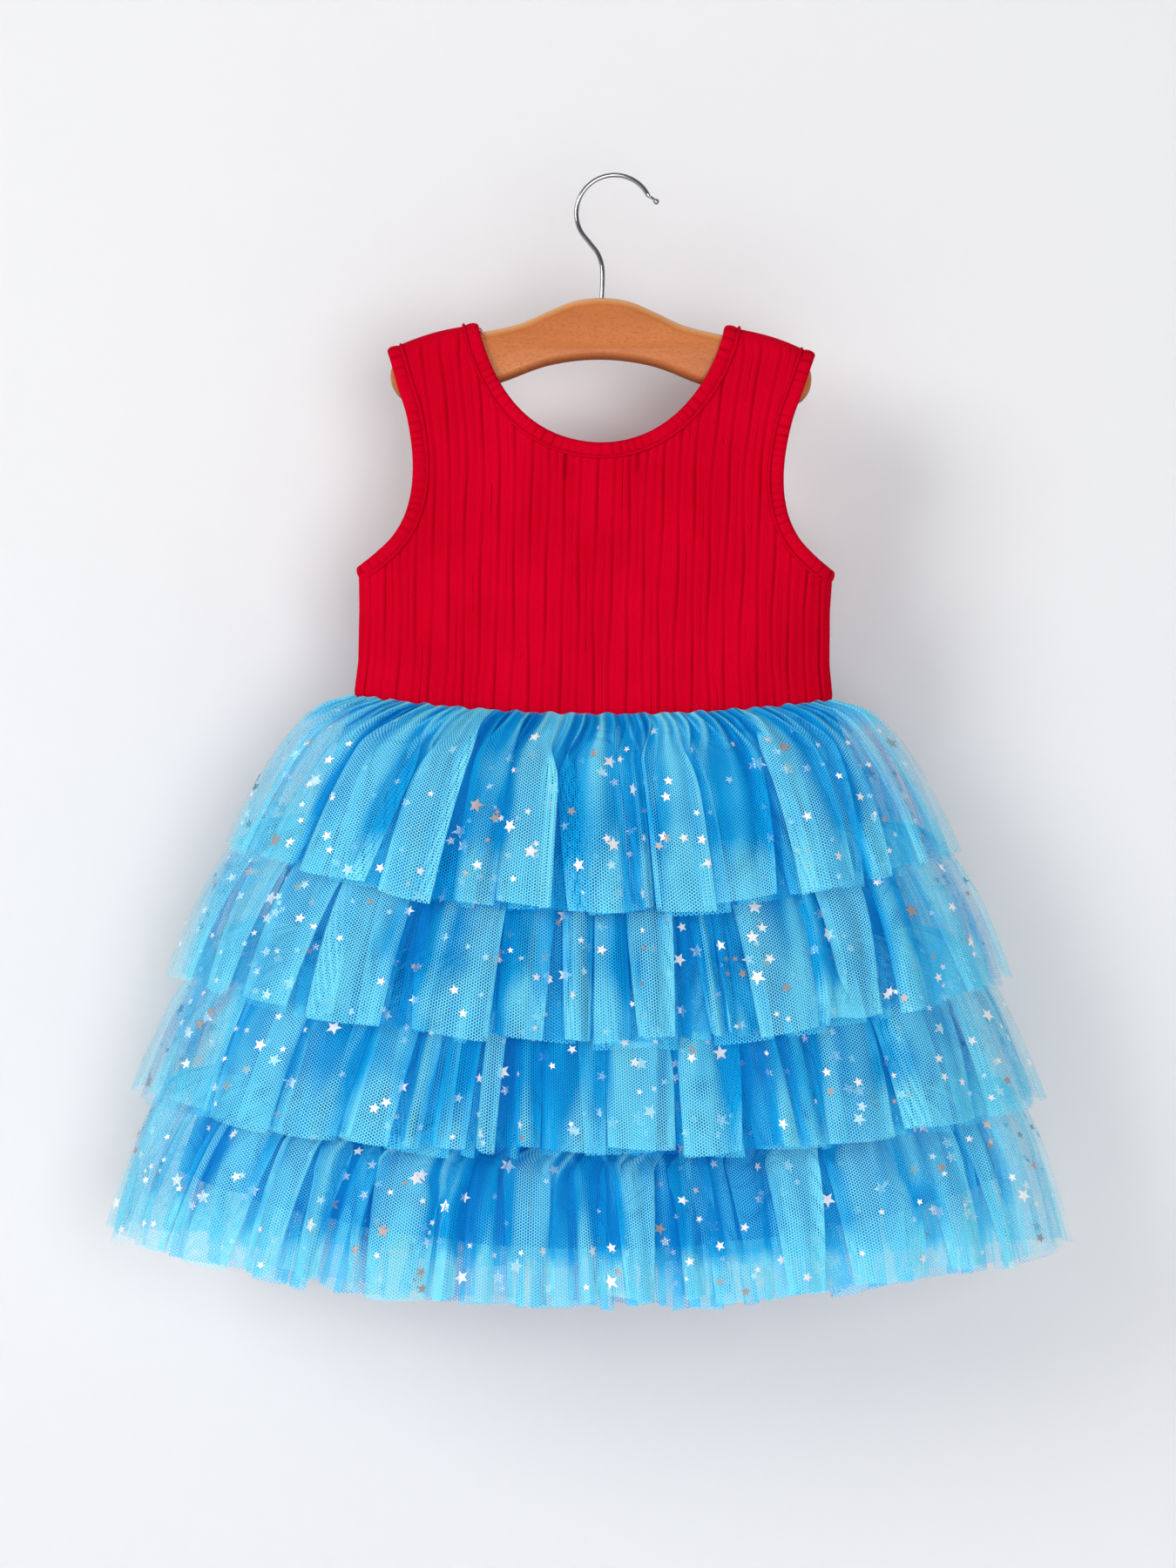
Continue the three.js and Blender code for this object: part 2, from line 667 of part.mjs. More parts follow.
// The wire: up from the wood, over to one side, then round the crown to a small ball at its end.
function hook() {
  const { wireRadius, bendRadius, stemTopZ, neckRadius, ballRadius } = HOOK;
  const point = (x, z) => new THREE.Vector3(x, 0, z);
  const centre = { x: -DRESS_X, z: wireRadius - bendRadius };
  const arcStart = THREE.MathUtils.degToRad(210);
  const arcEnd = THREE.MathUtils.degToRad(27);
  const arcPoints = 12;
  const arc = Array.from({ length: arcPoints + 1 }, (_, i) => {
    const a = lerp(arcStart, arcEnd, i / arcPoints);
    return point(centre.x + bendRadius * Math.cos(a), centre.z + bendRadius * Math.sin(a));
  });
  const stemFoot = WOOD_TOP[0].z - WOOD.stemHoleDepth + 3;
  const route = [
    point(0, stemFoot),
    point(0, (stemFoot + stemTopZ) / 2),
    point(0, stemTopZ),
    point(-2.5, stemTopZ + 7.6),
    point(-7.4, stemTopZ + 14),
    ...arc,
  ];
  const end = arc.at(-1);
  const ball = point(end.x + 4.4, end.z - 3.1);
  const tip = [point(end.x - 0.8, end.z + 1.2), point(end.x + 2.6, end.z - 0.8), ball];
  const solid = solidOf(wire(route, wireRadius, 34))
    .add(solidOf(wire(tip, neckRadius, 3)))
    .add(solidOf(new THREE.SphereGeometry(ballRadius, 8, 6).translate(ball.x, 0, ball.z)));
  return named(geometryFrom(solid), steelMaterial, "hanger_hook");
}

function named(geometry, look, name) {
  const mesh = new THREE.Mesh(geometry, look);
  mesh.name = name;
  return mesh;
}

// Lets the cloth hang a little to one side.
function leaning(mesh) {
  const p = mesh.geometry.getAttribute("position");
  for (let i = 0; i < p.count; i++) p.setX(i, p.getX(i) + readTable(LEAN, p.getZ(i), "x"));
  return mesh;
}

const dress = new THREE.Group();
dress.position.x = DRESS_X;
const cloth = [
  bodicePanel("bodice_back", -1, NECK.backDrop),
  bodicePanel("bodice_front", 1, NECK.frontDrop),
  named(neckRing(BAND_SECTION), knitMaterial, "neck_binding"),
  named(armholeRing(-1, BAND_SECTION), knitMaterial, "armhole_binding_left"),
  named(armholeRing(1, BAND_SECTION), knitMaterial, "armhole_binding_right"),
  lining(),
  ...TIERS.map(tier),
];
dress.add(...cloth.map(leaning), hangerWood(), hook());

export default dress;
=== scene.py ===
import math

import bmesh
import bpy
import numpy as np
from mathutils import Matrix, Vector


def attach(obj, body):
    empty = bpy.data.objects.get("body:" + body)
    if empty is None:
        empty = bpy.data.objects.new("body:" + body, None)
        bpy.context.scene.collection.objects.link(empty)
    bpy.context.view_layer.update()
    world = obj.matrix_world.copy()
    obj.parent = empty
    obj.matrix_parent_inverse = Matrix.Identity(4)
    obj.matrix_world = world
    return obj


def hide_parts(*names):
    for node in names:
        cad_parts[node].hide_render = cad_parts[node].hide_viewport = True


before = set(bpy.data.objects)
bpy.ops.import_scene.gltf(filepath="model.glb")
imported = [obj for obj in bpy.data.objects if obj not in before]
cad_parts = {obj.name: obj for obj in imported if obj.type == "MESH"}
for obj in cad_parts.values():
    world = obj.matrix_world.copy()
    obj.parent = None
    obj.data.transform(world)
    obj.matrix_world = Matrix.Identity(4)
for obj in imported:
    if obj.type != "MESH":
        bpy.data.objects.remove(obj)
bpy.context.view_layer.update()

# A child's tutu dress on a hanger. Lengths below are in millimetres, in the model's frame; x is
# measured from the dress's centre line until a piece is placed. Someone who looks along +Y
# sees the dress's back.

MM = 0.001
DRESS_X = -7.0  # the dress's centre line
LEAN = [(-104.5, 0), (-254, -2.4), (-450, -3.4)]  # height, and how far that line leans there

# The bodice: the bend over the hanger and at the sides, the shoulder line from the neck to its
# tip, the depth that the chest adds, the underarm, the waist, the necklines and the knit.
FOLD_RADIUS = 8.3
NECK_X, NECK_Z, TIP_X, TIP_Z, SHOULDER_BULGE = 72.0, -89.0, 124.6, -104.5, 3.0
CHEST_DEPTH = 10.0
UNDERARM_Z = -229.2
WAIST_HALF, WAIST_SIDE_Z, WAIST_MIDDLE_Z = 139.2, -306.3, -316.0
NECK_HALF, NECK_LEAN, BACK_DROP, FRONT_DROP = 66.5, 5.5, 68.0, 78.0
KNIT_HALF, RIB_PITCH = 0.75, 9.5
ARMHOLE = [(124.6, -104.5), (118.2, -125), (112.6, -141), (109.3, -157), (108, -172),
           (108.7, -186.5), (112, -200.5), (118.5, -212.5), (128, -222), (137.6, -229.2)]
SIDE_SEAM = [(-229.2, 137.6), (-254, 136.6), (-285, 136.8), (-306.3, 139.2)]
STRAP_Z = -176.0  # the straps spread above this height

# The lining's first and last rings.
LINING_TOP = dict(half=137.7, depth=8.5, side_z=-306.3, middle_z=-316.0)
LINING_HEM = dict(half=240.0, depth=42.0, side_z=-584.0, middle_z=-622.0)

# How many of each there are round the skirt. The folds drift sideways by a part of a main fold.
MAIN_FOLDS, PUCKERS, RIPPLES, SOFT_FOLDS, STREAKS = 36, 96, 150, 200, 260
FOLD_SPACING = 31.0  # along the hem, for a raised fold and the hollow beside it
TIER_COLUMNS, TIER_ROWS = 1360, 23

# The tiers. sewn: share of the lining's length where a tier is sewn on. half, depth, side_z and
# middle_z: its hem's half width and depth, and its height at the sides and in the middle. wide
# and deep: below 1 where the tier spreads soon below its seam. Last: painted light that pales its hem.
TIERS = [
    dict(sewn=0.0, half=213.0, depth=55.0, side_z=-391.5, middle_z=-426.0,
         wide=0.52, deep=0.7, painted_hem_light=0.3),
    dict(sewn=0.246, half=244.0, depth=68.0, side_z=-465.0, middle_z=-501.0,
         wide=0.44, deep=0.85, painted_hem_light=0.3),
    dict(sewn=0.466, half=264.5, depth=80.0, side_z=-537.5, middle_z=-562.0,
         wide=0.52, deep=0.7, painted_hem_light=0.3),
    dict(sewn=0.778, half=280.0, depth=88.0, side_z=-618.0, middle_z=-646.0,
         wide=0.43, deep=0.7, painted_hem_light=0.8),
]


def lerp(a, b, t):
    return a + (b - a) * t


def clamp01(t):
    return np.clip(t, 0.0, 1.0)


def smooth01(t):
    t = clamp01(t)
    return t * t * (3 - 2 * t)


def falling(rows, z):
    """Reads a table of (z, value), ordered by falling z."""
    return np.interp(-z, [-r[0] for r in rows], [r[1] for r in rows])


def unit(v):
    return v / np.maximum(np.linalg.norm(v, axis=-1, keepdims=True), 1e-9)


# Meshes

def mesh_piece(name, points, faces, materials, uv=None, values=None, face_material=None, hang=True):
    """A piece from points in millimetres and an array of faces with the same number of corners.
    points, uv and values may be grids. hang moves the points with the dress, which leans a little."""
    points = np.array(points, float).reshape(-1, 3)
    if hang:
        points[:, 0] += DRESS_X + falling(LEAN, points[:, 2])
    else:
        points[:, 0] += DRESS_X
    used = np.unique(faces)
    place = np.full(len(points), -1)
    place[used] = np.arange(len(used))
    faces = place[faces].astype(np.int32)
    mesh = bpy.data.meshes.new(name)
    mesh.vertices.add(len(used))
    mesh.vertices.foreach_set("co", (points[used] * MM).astype(np.float32).ravel())
    mesh.loops.add(faces.size)
    mesh.loops.foreach_set("vertex_index", faces.ravel())
    mesh.polygons.add(len(faces))
    mesh.polygons.foreach_set("loop_start", np.arange(len(faces), dtype=np.int32) * faces.shape[1])
    mesh.polygons.foreach_set("use_smooth", np.ones(len(faces), bool))
    if uv is not None:
        layer = mesh.uv_layers.new(name="cloth")
        corners = np.asarray(uv).reshape(-1, 2)[used][faces.ravel()]
        layer.uv.foreach_set("vector", corners.astype(np.float32).ravel())
    for key, value in (values or {}).items():
        attribute = mesh.attributes.new(key, "FLOAT", "POINT")
        attribute.data.foreach_set("value", np.asarray(value).ravel()[used].astype(np.float32))
    for material in materials:
        mesh.materials.append(material)
    if face_material is not None:
        mesh.polygons.foreach_set("material_index", np.asarray(face_material, np.int32))
    mesh.update(calc_edges=True)
    piece = bpy.data.objects.new(name, mesh)
    bpy.context.scene.collection.objects.link(piece)
    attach(piece, "root")
    return piece


def grid_faces(rows, columns, wrap_columns=False, wrap_rows=False):
    index = np.arange(rows * columns).reshape(rows, columns)
    if wrap_columns:
        index = np.concatenate([index, index[:, :1]], 1)
    if wrap_rows:
        index = np.concatenate([index, index[:1]], 0)
    a, b = index[:-1, :-1], index[1:, :-1]
    c, d = index[1:, 1:], index[:-1, 1:]
    return np.stack([a, b, c, d], -1).reshape(-1, 4)


def grid_normals(points):
    along = np.gradient(points, axis=1)
    down = np.gradient(points, axis=0)
    return unit(np.cross(down, along))


def lengths_along(points):
    """Running length of a polyline."""
    steps = np.linalg.norm(np.diff(points, axis=0), axis=1)
    return np.concatenate([[0], np.cumsum(steps)])


def points_at(points, run, at):
    return np.stack([np.interp(at, run, column) for column in points.T], 1)


def resampled(points, spacing):
    run = lengths_along(points)
    return points_at(points, run, np.linspace(0, run[-1], max(int(round(run[-1] / spacing)), 4) + 1))


def distance_to(points, line):
    """Distance of each 2-D point from the points of a dense line."""
    best = np.full(len(points), 1e9)
    for start in range(0, len(line), 64):
        part = line[start:start + 64]
        gap = np.linalg.norm(points[:, None] - part[None], axis=2).min(1)
        best = np.minimum(best, gap)
    return best


def spline(points, closed=False, per_span=40, power=0.5):
    """Catmull-Rom line through points: centripetal, or uniform where power is 0."""
    p = np.array(points, float)
    if closed:
        p = np.concatenate([p[-1:], p, p[:2]])
    elif power:
        p = np.concatenate([2 * p[:1] - p[1:2], p, 2 * p[-1:] - p[-2:-1]])
    else:
        p = np.concatenate([p[:1], p, p[-1:]])
    spans = []
    for a, b, c, d in zip(p[:-3], p[1:-2], p[2:-1], p[3:]):
        t = np.cumsum([0, *(max(np.linalg.norm(v - u), 1e-6) ** power for u, v in ((a, b), (b, c), (c, d)))])
        s = np.linspace(t[1], t[2], per_span, endpoint=False)[:, None]
        a1 = (t[1] - s) / (t[1] - t[0]) * a + (s - t[0]) / (t[1] - t[0]) * b
        a2 = (t[2] - s) / (t[2] - t[1]) * b + (s - t[1]) / (t[2] - t[1]) * c
        a3 = (t[3] - s) / (t[3] - t[2]) * c + (s - t[2]) / (t[3] - t[2]) * d
        b1 = (t[2] - s) / (t[2] - t[0]) * a1 + (s - t[0]) / (t[2] - t[0]) * a2
        b2 = (t[3] - s) / (t[3] - t[1]) * a2 + (s - t[1]) / (t[3] - t[1]) * a3
        spans.append((t[2] - s) / (t[2] - t[1]) * b1 + (s - t[1]) / (t[2] - t[1]) * b2)
    return np.concatenate(spans + ([] if closed else [p[-2:-1]]))


def tube(route, radii, sides=16):
    """Points and faces of a round tube along a route, closed by its small end radii."""
    route = np.array(route, float)
    along = unit(np.gradient(route, axis=0))
    side = np.cross(along, [0.0, 1.0, 0.0])
    side = unit(np.where(np.linalg.norm(side, axis=1, keepdims=True) < 1e-3, [1.0, 0.0, 0.0], side))
    other = np.cross(along, side)
    turn = np.linspace(0, 2 * math.pi, sides, endpoint=False)
    ring = np.cos(turn)[None, :, None] * side[:, None] + np.sin(turn)[None, :, None] * other[:, None]
    points = route[:, None] + ring * np.asarray(radii, float)[:, None, None]
    return points.reshape(-1, 3), grid_faces(len(route), sides, wrap_columns=True)


# Materials

def node(tree, kind, inputs=None, **settings):
    made = tree.nodes.new(kind)
    for key, value in settings.items():
        setattr(made, key, value)
    for key, value in (inputs or {}).items():
        if isinstance(value, bpy.types.NodeSocket):
            tree.links.new(value, made.inputs[key])
        else:
            made.inputs[key].default_value = value
    return made


def calc(tree, operation, a, b=0.0, c=None):
    inputs = {0: a, 1: b} if c is None else {0: a, 1: b, 2: c}
    return node(tree, "ShaderNodeMath", inputs, operation=operation).outputs[0]


def new_material(name, **shader_inputs):
    material = bpy.data.materials.new(name)
    material.use_nodes = True
    tree = material.node_tree
    shader = tree.nodes["Principled BSDF"]
    for key, value in shader_inputs.items():
        shader.inputs[key.replace("_", " ")].default_value = value
    return material, tree, shader


def noise(tree, scale, detail=3.0, roughness=0.55, vector=None):
    inputs = {"Scale": scale, "Detail": detail, "Roughness": roughness}
    if vector is None:
        vector = node(tree, "ShaderNodeTexCoord").outputs["Object"]
    inputs["Vector"] = vector
    return node(tree, "ShaderNodeTexNoise", inputs).outputs["Fac"]


def ramp(tree, factor, *stops):
    made = node(tree, "ShaderNodeValToRGB", {0: factor})
    while len(made.color_ramp.elements) < len(stops):
        made.color_ramp.elements.new(0.5)
    for element, (at, colour) in zip(made.color_ramp.elements, stops):
        element.position = at
        element.color = (*colour, 1.0)
    return made.outputs["Color"]


def mix_colour(tree, factor, a, b):
    made = node(tree, "ShaderNodeMix", data_type="RGBA")
    for socket, value in ((made.inputs[0], factor), (made.inputs[6], a), (made.inputs[7], b)):
        if isinstance(value, bpy.types.NodeSocket):
            tree.links.new(value, socket)
        else:
            socket.default_value = value if isinstance(value, float) else (*value, 1.0)
    return made.outputs[2]


def map_range(tree, value, from_low, from_high, to_low, to_high):
    inputs = {0: value, 1: from_low, 2: from_high, 3: to_low, 4: to_high}
    return node(tree, "ShaderNodeMapRange", inputs).outputs[0]


def stretched(tree, scale):
    """The object's own coordinates, scaled along each axis."""
    place = node(tree, "ShaderNodeTexCoord").outputs["Object"]
    return node(tree, "ShaderNodeMapping", {"Vector": place, "Scale": scale}).outputs[0]


def paint(tree, shader, colour):
    tree.links.new(colour, shader.inputs["Base Color"])


def bump(tree, shader, height, strength, distance):
    made = node(tree, "ShaderNodeBump", {"Height": height, "Strength": strength, "Distance": distance})
    tree.links.new(made.outputs[0], shader.inputs["Normal"])


def cloth_axes(tree):
    """The cloth's own axes in millimetres: across and down."""
    uv = node(tree, "ShaderNodeUVMap", uv_map="cloth").outputs[0]
    parts = node(tree, "ShaderNodeSeparateXYZ", {0: uv})
    return parts.outputs[0], parts.outputs[1]


def wave(tree, axis, period):
    return calc(tree, "COSINE", calc(tree, "MULTIPLY", axis, 2 * math.pi / period))


def knit_material():
    """Rib knit: fine wales and courses, with painted shade in the grooves, tucks and band creases that the
    mesh marks.
    """
    material, tree, shader = new_material(
        "rib_knit", Roughness=0.85, Sheen_Weight=0.12, Sheen_Roughness=0.45,
        Sheen_Tint=(1.0, 0.02, 0.06, 1.0), Specular_IOR_Level=0.012)
    across, down = cloth_axes(tree)
    slant = calc(tree, "ABSOLUTE", calc(tree, "SINE", calc(tree, "MULTIPLY", across, math.pi / 0.95)))
    loops = wave(tree, calc(tree, "MULTIPLY_ADD", slant, 0.35, down), 0.8)
    wales = wave(tree, across, 0.95)
    painted_groove_shade = node(tree, "ShaderNodeAttribute", attribute_name="painted_groove_shade").outputs["Fac"]
    fuzz = noise(tree, 900.0, 4.0, 0.7)
    cloud = noise(tree, 22.0, 3.0)
    height = calc(tree, "MULTIPLY_ADD", loops, 0.35, calc(tree, "MULTIPLY_ADD", wales, 0.4, fuzz))
    bump(tree, shader, height, 0.5, 0.00022)
    body = ramp(tree, cloud, (0.3, (0.57, 0.0002, 0.014)), (0.7, (0.66, 0.0004, 0.019)))
    speckled = mix_colour(tree, calc(tree, "MULTIPLY", fuzz, 0.35), body, (0.52, 0.0002, 0.011))
    # Painted shade: the colour darkens where the mesh marks grooves, tucks and band creases.
    paint(tree, shader, mix_colour(tree, painted_groove_shade, speckled, (0.33, 0.0001, 0.008)))
    return material


def thread_material():
    material, tree, shader = new_material("sewing_thread", Roughness=0.7, Specular_IOR_Level=0.03)
    twist = noise(tree, 1500.0, 2.0)
    paint(tree, shader, ramp(tree, twist, (0.3, (0.50, 0.0004, 0.012)), (0.7, (0.68, 0.001, 0.02))))
    bump(tree, shader, twist, 0.4, 0.0001)
    return material


NET_PITCH = 1.75  # between neighbouring holes of the net
NET_COVER = -1.1  # how much of the net is thread, where more is higher
# Each layer's colours: painted shade for a hollow, a middle tone, and painted light for a raised fold.
OVER_SHADE_TO_LIGHT = ((0.0008, 0.26, 0.70), (0.005, 0.46, 0.88), (0.22, 0.83, 1.0))
UNDER_SHADE_TO_LIGHT = ((0.0006, 0.23, 0.68), (0.003, 0.38, 0.82), (0.10, 0.69, 1.0))


def net_material(name, shade_to_light):
    """Hexagonal net, denser near its seam and where the mesh's 'dense' is high. Its colour goes from
    painted shade in the hollows, through the middle, to painted light on the raised folds."""
    material, tree, shader = new_material(
        name, Roughness=0.5, Sheen_Weight=0.03, Sheen_Roughness=0.3, Sheen_Tint=(0.5, 0.88, 1.0, 1.0),
        Specular_IOR_Level=0.04)
    across, down = cloth_axes(tree)
    k = 2 * math.pi / (NET_PITCH * math.cos(math.pi / 6))
    parts = []
    for turn in (0.0, math.pi / 3, 2 * math.pi / 3):
        part_down = calc(tree, "MULTIPLY", down, k * math.sin(turn))
        parts.append(calc(tree, "COSINE", calc(tree, "MULTIPLY_ADD", across, k * math.cos(turn), part_down)))
    net = calc(tree, "ADD", calc(tree, "ADD", parts[0], parts[1]), parts[2])
    gathered = map_range(tree, down, 0.0, 30.0, 0.9, 0.0)
    cloud = noise(tree, 30.0, 1.0)
    painted_shade_to_light = node(tree, "ShaderNodeAttribute", attribute_name="painted_shade_to_light").outputs["Fac"]
    dense = node(tree, "ShaderNodeAttribute", attribute_name="dense").outputs["Fac"]
    edge = calc(tree, "ADD", gathered, calc(tree, "MULTIPLY_ADD", cloud, 0.4, dense))
    edge = calc(tree, "ADD", edge, NET_COVER)
    alpha = map_range(tree, calc(tree, "SUBTRACT", edge, net), -0.15, 0.15, 0.02, 1.0)
    tree.links.new(alpha, shader.inputs["Alpha"])
    dark, middle, light = shade_to_light
    # The tone is painted light and shade from the mesh, with some random cloudiness.
    tone = calc(tree, "MULTIPLY_ADD", painted_shade_to_light, 0.9, calc(tree, "MULTIPLY", cloud, 0.3))
    paint(tree, shader, ramp(tree, tone, (0.27, dark), (0.73, middle), (1.0, light)))
    return material


def lining_material():
    material, tree, shader = new_material(
        "satin_lining", Roughness=0.5, Sheen_Weight=0.08, Sheen_Roughness=0.35, Specular_IOR_Level=0.2)
    across, down = cloth_axes(tree)
    weave = calc(tree, "MULTIPLY", wave(tree, across, 0.42), wave(tree, down, 0.6))
    cloud = noise(tree, 18.0, 4.0)
    paint(tree, shader, ramp(tree, cloud, (0.28, (0.0008, 0.19, 0.61)), (0.75, (0.001, 0.27, 0.72))))
    bump(tree, shader, calc(tree, "MULTIPLY_ADD", weave, 0.3, noise(tree, 260.0, 3.0)), 0.3, 0.00015)
    return material


def foil_material(name, colour, roughness):
    material, tree, shader = new_material(name, Metallic=0.35, Roughness=roughness)
    crinkle = noise(tree, 420.0, 3.0)
    darker = tuple(0.86 * c for c in colour)
    paint(tree, shader, ramp(tree, crinkle, (0.3, darker), (0.7, colour)))
    bump(tree, shader, crinkle, 0.5, 0.0003)
    return material


def wood_material():
    """Varnished wood: long grain along the hanger, small dark pores, painted light on its upper edge
    and painted shade on its lower one."""
    material, tree, shader = new_material(
        "varnished_wood", Coat_Weight=0.08, Coat_Roughness=0.3, Specular_IOR_Level=0.3)
    grain = noise(tree, 1.0, 6.0, 0.62, stretched(tree, (7.0, 40.0, 75.0)))
    pores = noise(tree, 1.0, 3.0, 0.6, stretched(tree, (420.0, 700.0, 1000.0)))
    body = ramp(tree, grain, (0.25, (0.44, 0.116, 0.020)), (0.5, (0.525, 0.148, 0.029)),
                (0.78, (0.59, 0.182, 0.040)))
    spots = ramp(tree, pores, (0.48, (0.0, 0.0, 0.0)), (0.68, (0.55, 0.55, 0.55)))
    spotted = mix_colour(tree, spots, body, (0.36, 0.085, 0.018))
    # Painted light where the surface faces up and painted shade where it faces down.
    normal = node(tree, "ShaderNodeNewGeometry").outputs["Normal"]
    facing_up = node(tree, "ShaderNodeSeparateXYZ", {0: normal}).outputs[2]
    above = map_range(tree, facing_up, 0.2, 0.75, 0.0, 0.75)
    below = map_range(tree, facing_up, -0.2, -0.75, 0.0, 0.7)
    with_painted_top_light = mix_colour(tree, above, spotted, (0.80, 0.42, 0.17))
    paint(tree, shader, mix_colour(tree, below, with_painted_top_light, (0.22, 0.045, 0.018)))
    tree.links.new(map_range(tree, pores, 0.3, 0.7, 0.34, 0.5), shader.inputs["Roughness"])
    bump(tree, shader, calc(tree, "MULTIPLY_ADD", grain, 0.5, pores), 0.12, 0.0003)
    return material


def steel_material():
    material, tree, shader = new_material("polished_steel", Metallic=1.0, Base_Color=(0.38, 0.38, 0.39, 1.0))
    lines = noise(tree, 1.0, 4.0, 0.6, stretched(tree, (700.0, 700.0, 90.0)))
    tree.links.new(map_range(tree, lines, 0.3, 0.75, 0.05, 0.16), shader.inputs["Roughness"])
    bump(tree, shader, lines, 0.1, 0.0001)
    return material


def paint_material(name, colour):
    material, tree, shader = new_material(name, Roughness=0.9, Specular_IOR_Level=0.1)
    cloud = noise(tree, 1.2, 3.0)
    darker = tuple(0.985 * c for c in colour)
    paint(tree, shader, ramp(tree, cloud, (0.2, darker), (0.8, colour)))
    bump(tree, shader, noise(tree, 350.0, 2.0), 0.05, 0.0002)
    return material


KNIT = knit_material()
THREAD = thread_material()
NET_OVER = net_material("star_tulle_over", OVER_SHADE_TO_LIGHT)
NET_UNDER = net_material("star_tulle_under", UNDER_SHADE_TO_LIGHT)
LINING = lining_material()
SILVER = foil_material("foil_silver", (0.98, 0.98, 0.99), 0.5)
# A darker, warmer copy of the silver foil: painted dull reflection on some of the stars.
SILVER_PAINTED_DULL = foil_material("foil_silver_painted_dull", (0.44, 0.38, 0.38), 0.45)
WOOD = wood_material()
STEEL = steel_material()


# The bodice

def shoulder_z(x):
    slope = (TIP_Z - NECK_Z) / (TIP_X - NECK_X)
    t = np.clip((np.abs(x) - NECK_X) / (TIP_X - NECK_X), -0.2, 1.2)
    return NECK_Z + slope * (np.abs(x) - NECK_X) + 4 * SHOULDER_BULGE * t * (1 - t)


def waist_z(x):
    return lerp(WAIST_MIDDLE_Z, WAIST_SIDE_Z, np.minimum(np.abs(x) / WAIST_HALF, 1) ** 2)


def side_half(z):
    return np.where(z < UNDERARM_Z, falling(SIDE_SEAM, z), SIDE_SEAM[0][1] + 0.35 * (z - UNDERARM_Z))


def bodice_y(x, z):
    turn = clamp01(np.maximum(shoulder_z(x) - z, 0) / FOLD_RADIUS)
    fold = np.sqrt(1 - (1 - turn) ** 2)
    room = CHEST_DEPTH * clamp01((TIP_Z - z) / (TIP_Z - UNDERARM_Z)) ** 0.8
    share = np.minimum(np.abs(x) / side_half(z), 1)
    return FOLD_RADIUS * fold * np.sqrt(1 - share**8) + room * (1 - share**2.6) ** 0.65


def bodice_normal(x, z):
    """Outward normals for the front of the dress, where y is above 0."""
    step = 0.05
    slope_x = (bodice_y(x + step, z) - bodice_y(x - step, z)) / (2 * step)
    slope_z = (bodice_y(x, z + step) - bodice_y(x, z - step)) / (2 * step)
    n = unit(np.stack([-slope_x, np.ones_like(slope_x), -slope_z], -1))
    at_side = (np.abs(x) >= side_half(z) - step)[..., None]
    at_top = (shoulder_z(x) - z < step)[..., None]
    n = np.where(at_side, np.stack([np.sign(x), 0 * x, 0 * x], -1), n)
    return np.where(at_top & ~at_side, np.array([0.0, 0.0, 1.0]), n)


# x for each cloth length from the centre line, at heights 1 mm apart.
LEVELS = np.arange(-60.0, -331.0, -1.0)
LENGTH_STEP = 0.5
LENGTHS = np.arange(0.0, 215.0, LENGTH_STEP)
X_TABLE, GIRTHS = [], []
for level in LEVELS:
    x_line = float(side_half(level)) * np.sin(np.linspace(0, math.pi / 2, 900))
    y_line = bodice_y(x_line, np.full_like(x_line, level))
    run = lengths_along(np.stack([x_line, y_line], 1))
    X_TABLE.append(np.interp(LENGTHS, run, x_line))
    GIRTHS.append(run[-1])
X_TABLE, GIRTHS = np.array(X_TABLE), np.array(GIRTHS)
HALF_GIRTH = float(np.interp(-UNDERARM_Z, -LEVELS, GIRTHS))


def x_at_length(length, z):
    girth = np.where(z < UNDERARM_Z, np.interp(-z, -LEVELS, GIRTHS) / HALF_GIRTH, 1.0)
    row = np.clip(LEVELS[0] - z, 0, len(LEVELS) - 1.001)
    column = np.clip(np.abs(length) * girth / LENGTH_STEP, 0, len(LENGTHS) - 1.001)
    r, c = row.astype(int), column.astype(int)
    fr, fc = row - r, column - c
    upper = X_TABLE[r, c] * (1 - fc) + X_TABLE[r, c + 1] * fc
    lower = X_TABLE[r + 1, c] * (1 - fc) + X_TABLE[r + 1, c + 1] * fc
    return np.sign(length) * (upper * (1 - fr) + lower * fr)


def strap_lean(z):
    return 1 + 0.1 * clamp01((z - STRAP_Z) / (TIP_Z - STRAP_Z)) ** 1.5


NECK_POINTS = 700


def neck_line(drop):
    """The neck's edge from the right shoulder down to the middle and up to the left one, in x and z."""
    a = np.linspace(0, math.pi / 2, NECK_POINTS)
    right = np.stack([NECK_HALF * np.cos(a) + NECK_LEAN * (1 - np.sin(a)) ** 3, NECK_Z - drop * np.sin(a)], 1)
    left = right[:-1] * [-1, 1]
    return np.concatenate([right, left[::-1]])


ARMHOLE_LINE = spline(ARMHOLE, per_span=80, power=0)


def beyond_neck(x, z, drop):
    line = neck_line(drop)[:NECK_POINTS]
    return (np.abs(x) < NECK_X) & (z > np.interp(-np.abs(x), -line[:, 0], line[:, 1]))


def beyond_armhole(x, z):
    return (z > UNDERARM_Z) & (np.abs(x) > np.interp(-z, -ARMHOLE_LINE[:, 1], ARMHOLE_LINE[:, 0]))


# Soft troughs (below 0) and ridges of the hanging bodice: centre, direction, half length, half
# width, height. Directions are in degrees from +X.
BODICE_FORMS = [
    (-96, -262, 68, 42, 9, 0.9), (-70, -284, 82, 34, 8, -0.8), (-40, -292, 88, 30, 7, 0.7),
    (-8, -288, 92, 36, 9, -0.7), (26, -294, 86, 28, 8, 0.8), (58, -286, 96, 34, 8, -0.8),
    (92, -268, 112, 44, 10, 0.9), (116, -246, 128, 30, 8, -0.8), (-118, -244, 52, 30, 8, -0.8),
    (-52, -196, 78, 46, 12, 0.6), (48, -204, 100, 50, 12, 0.6), (0, -214, 90, 42, 14, -0.6),
    (-98, -150, 84, 30, 8, 0.6), (98, -150, 96, 30, 8, 0.6), (0, -164, 0, 44, 6, 0.5),
]


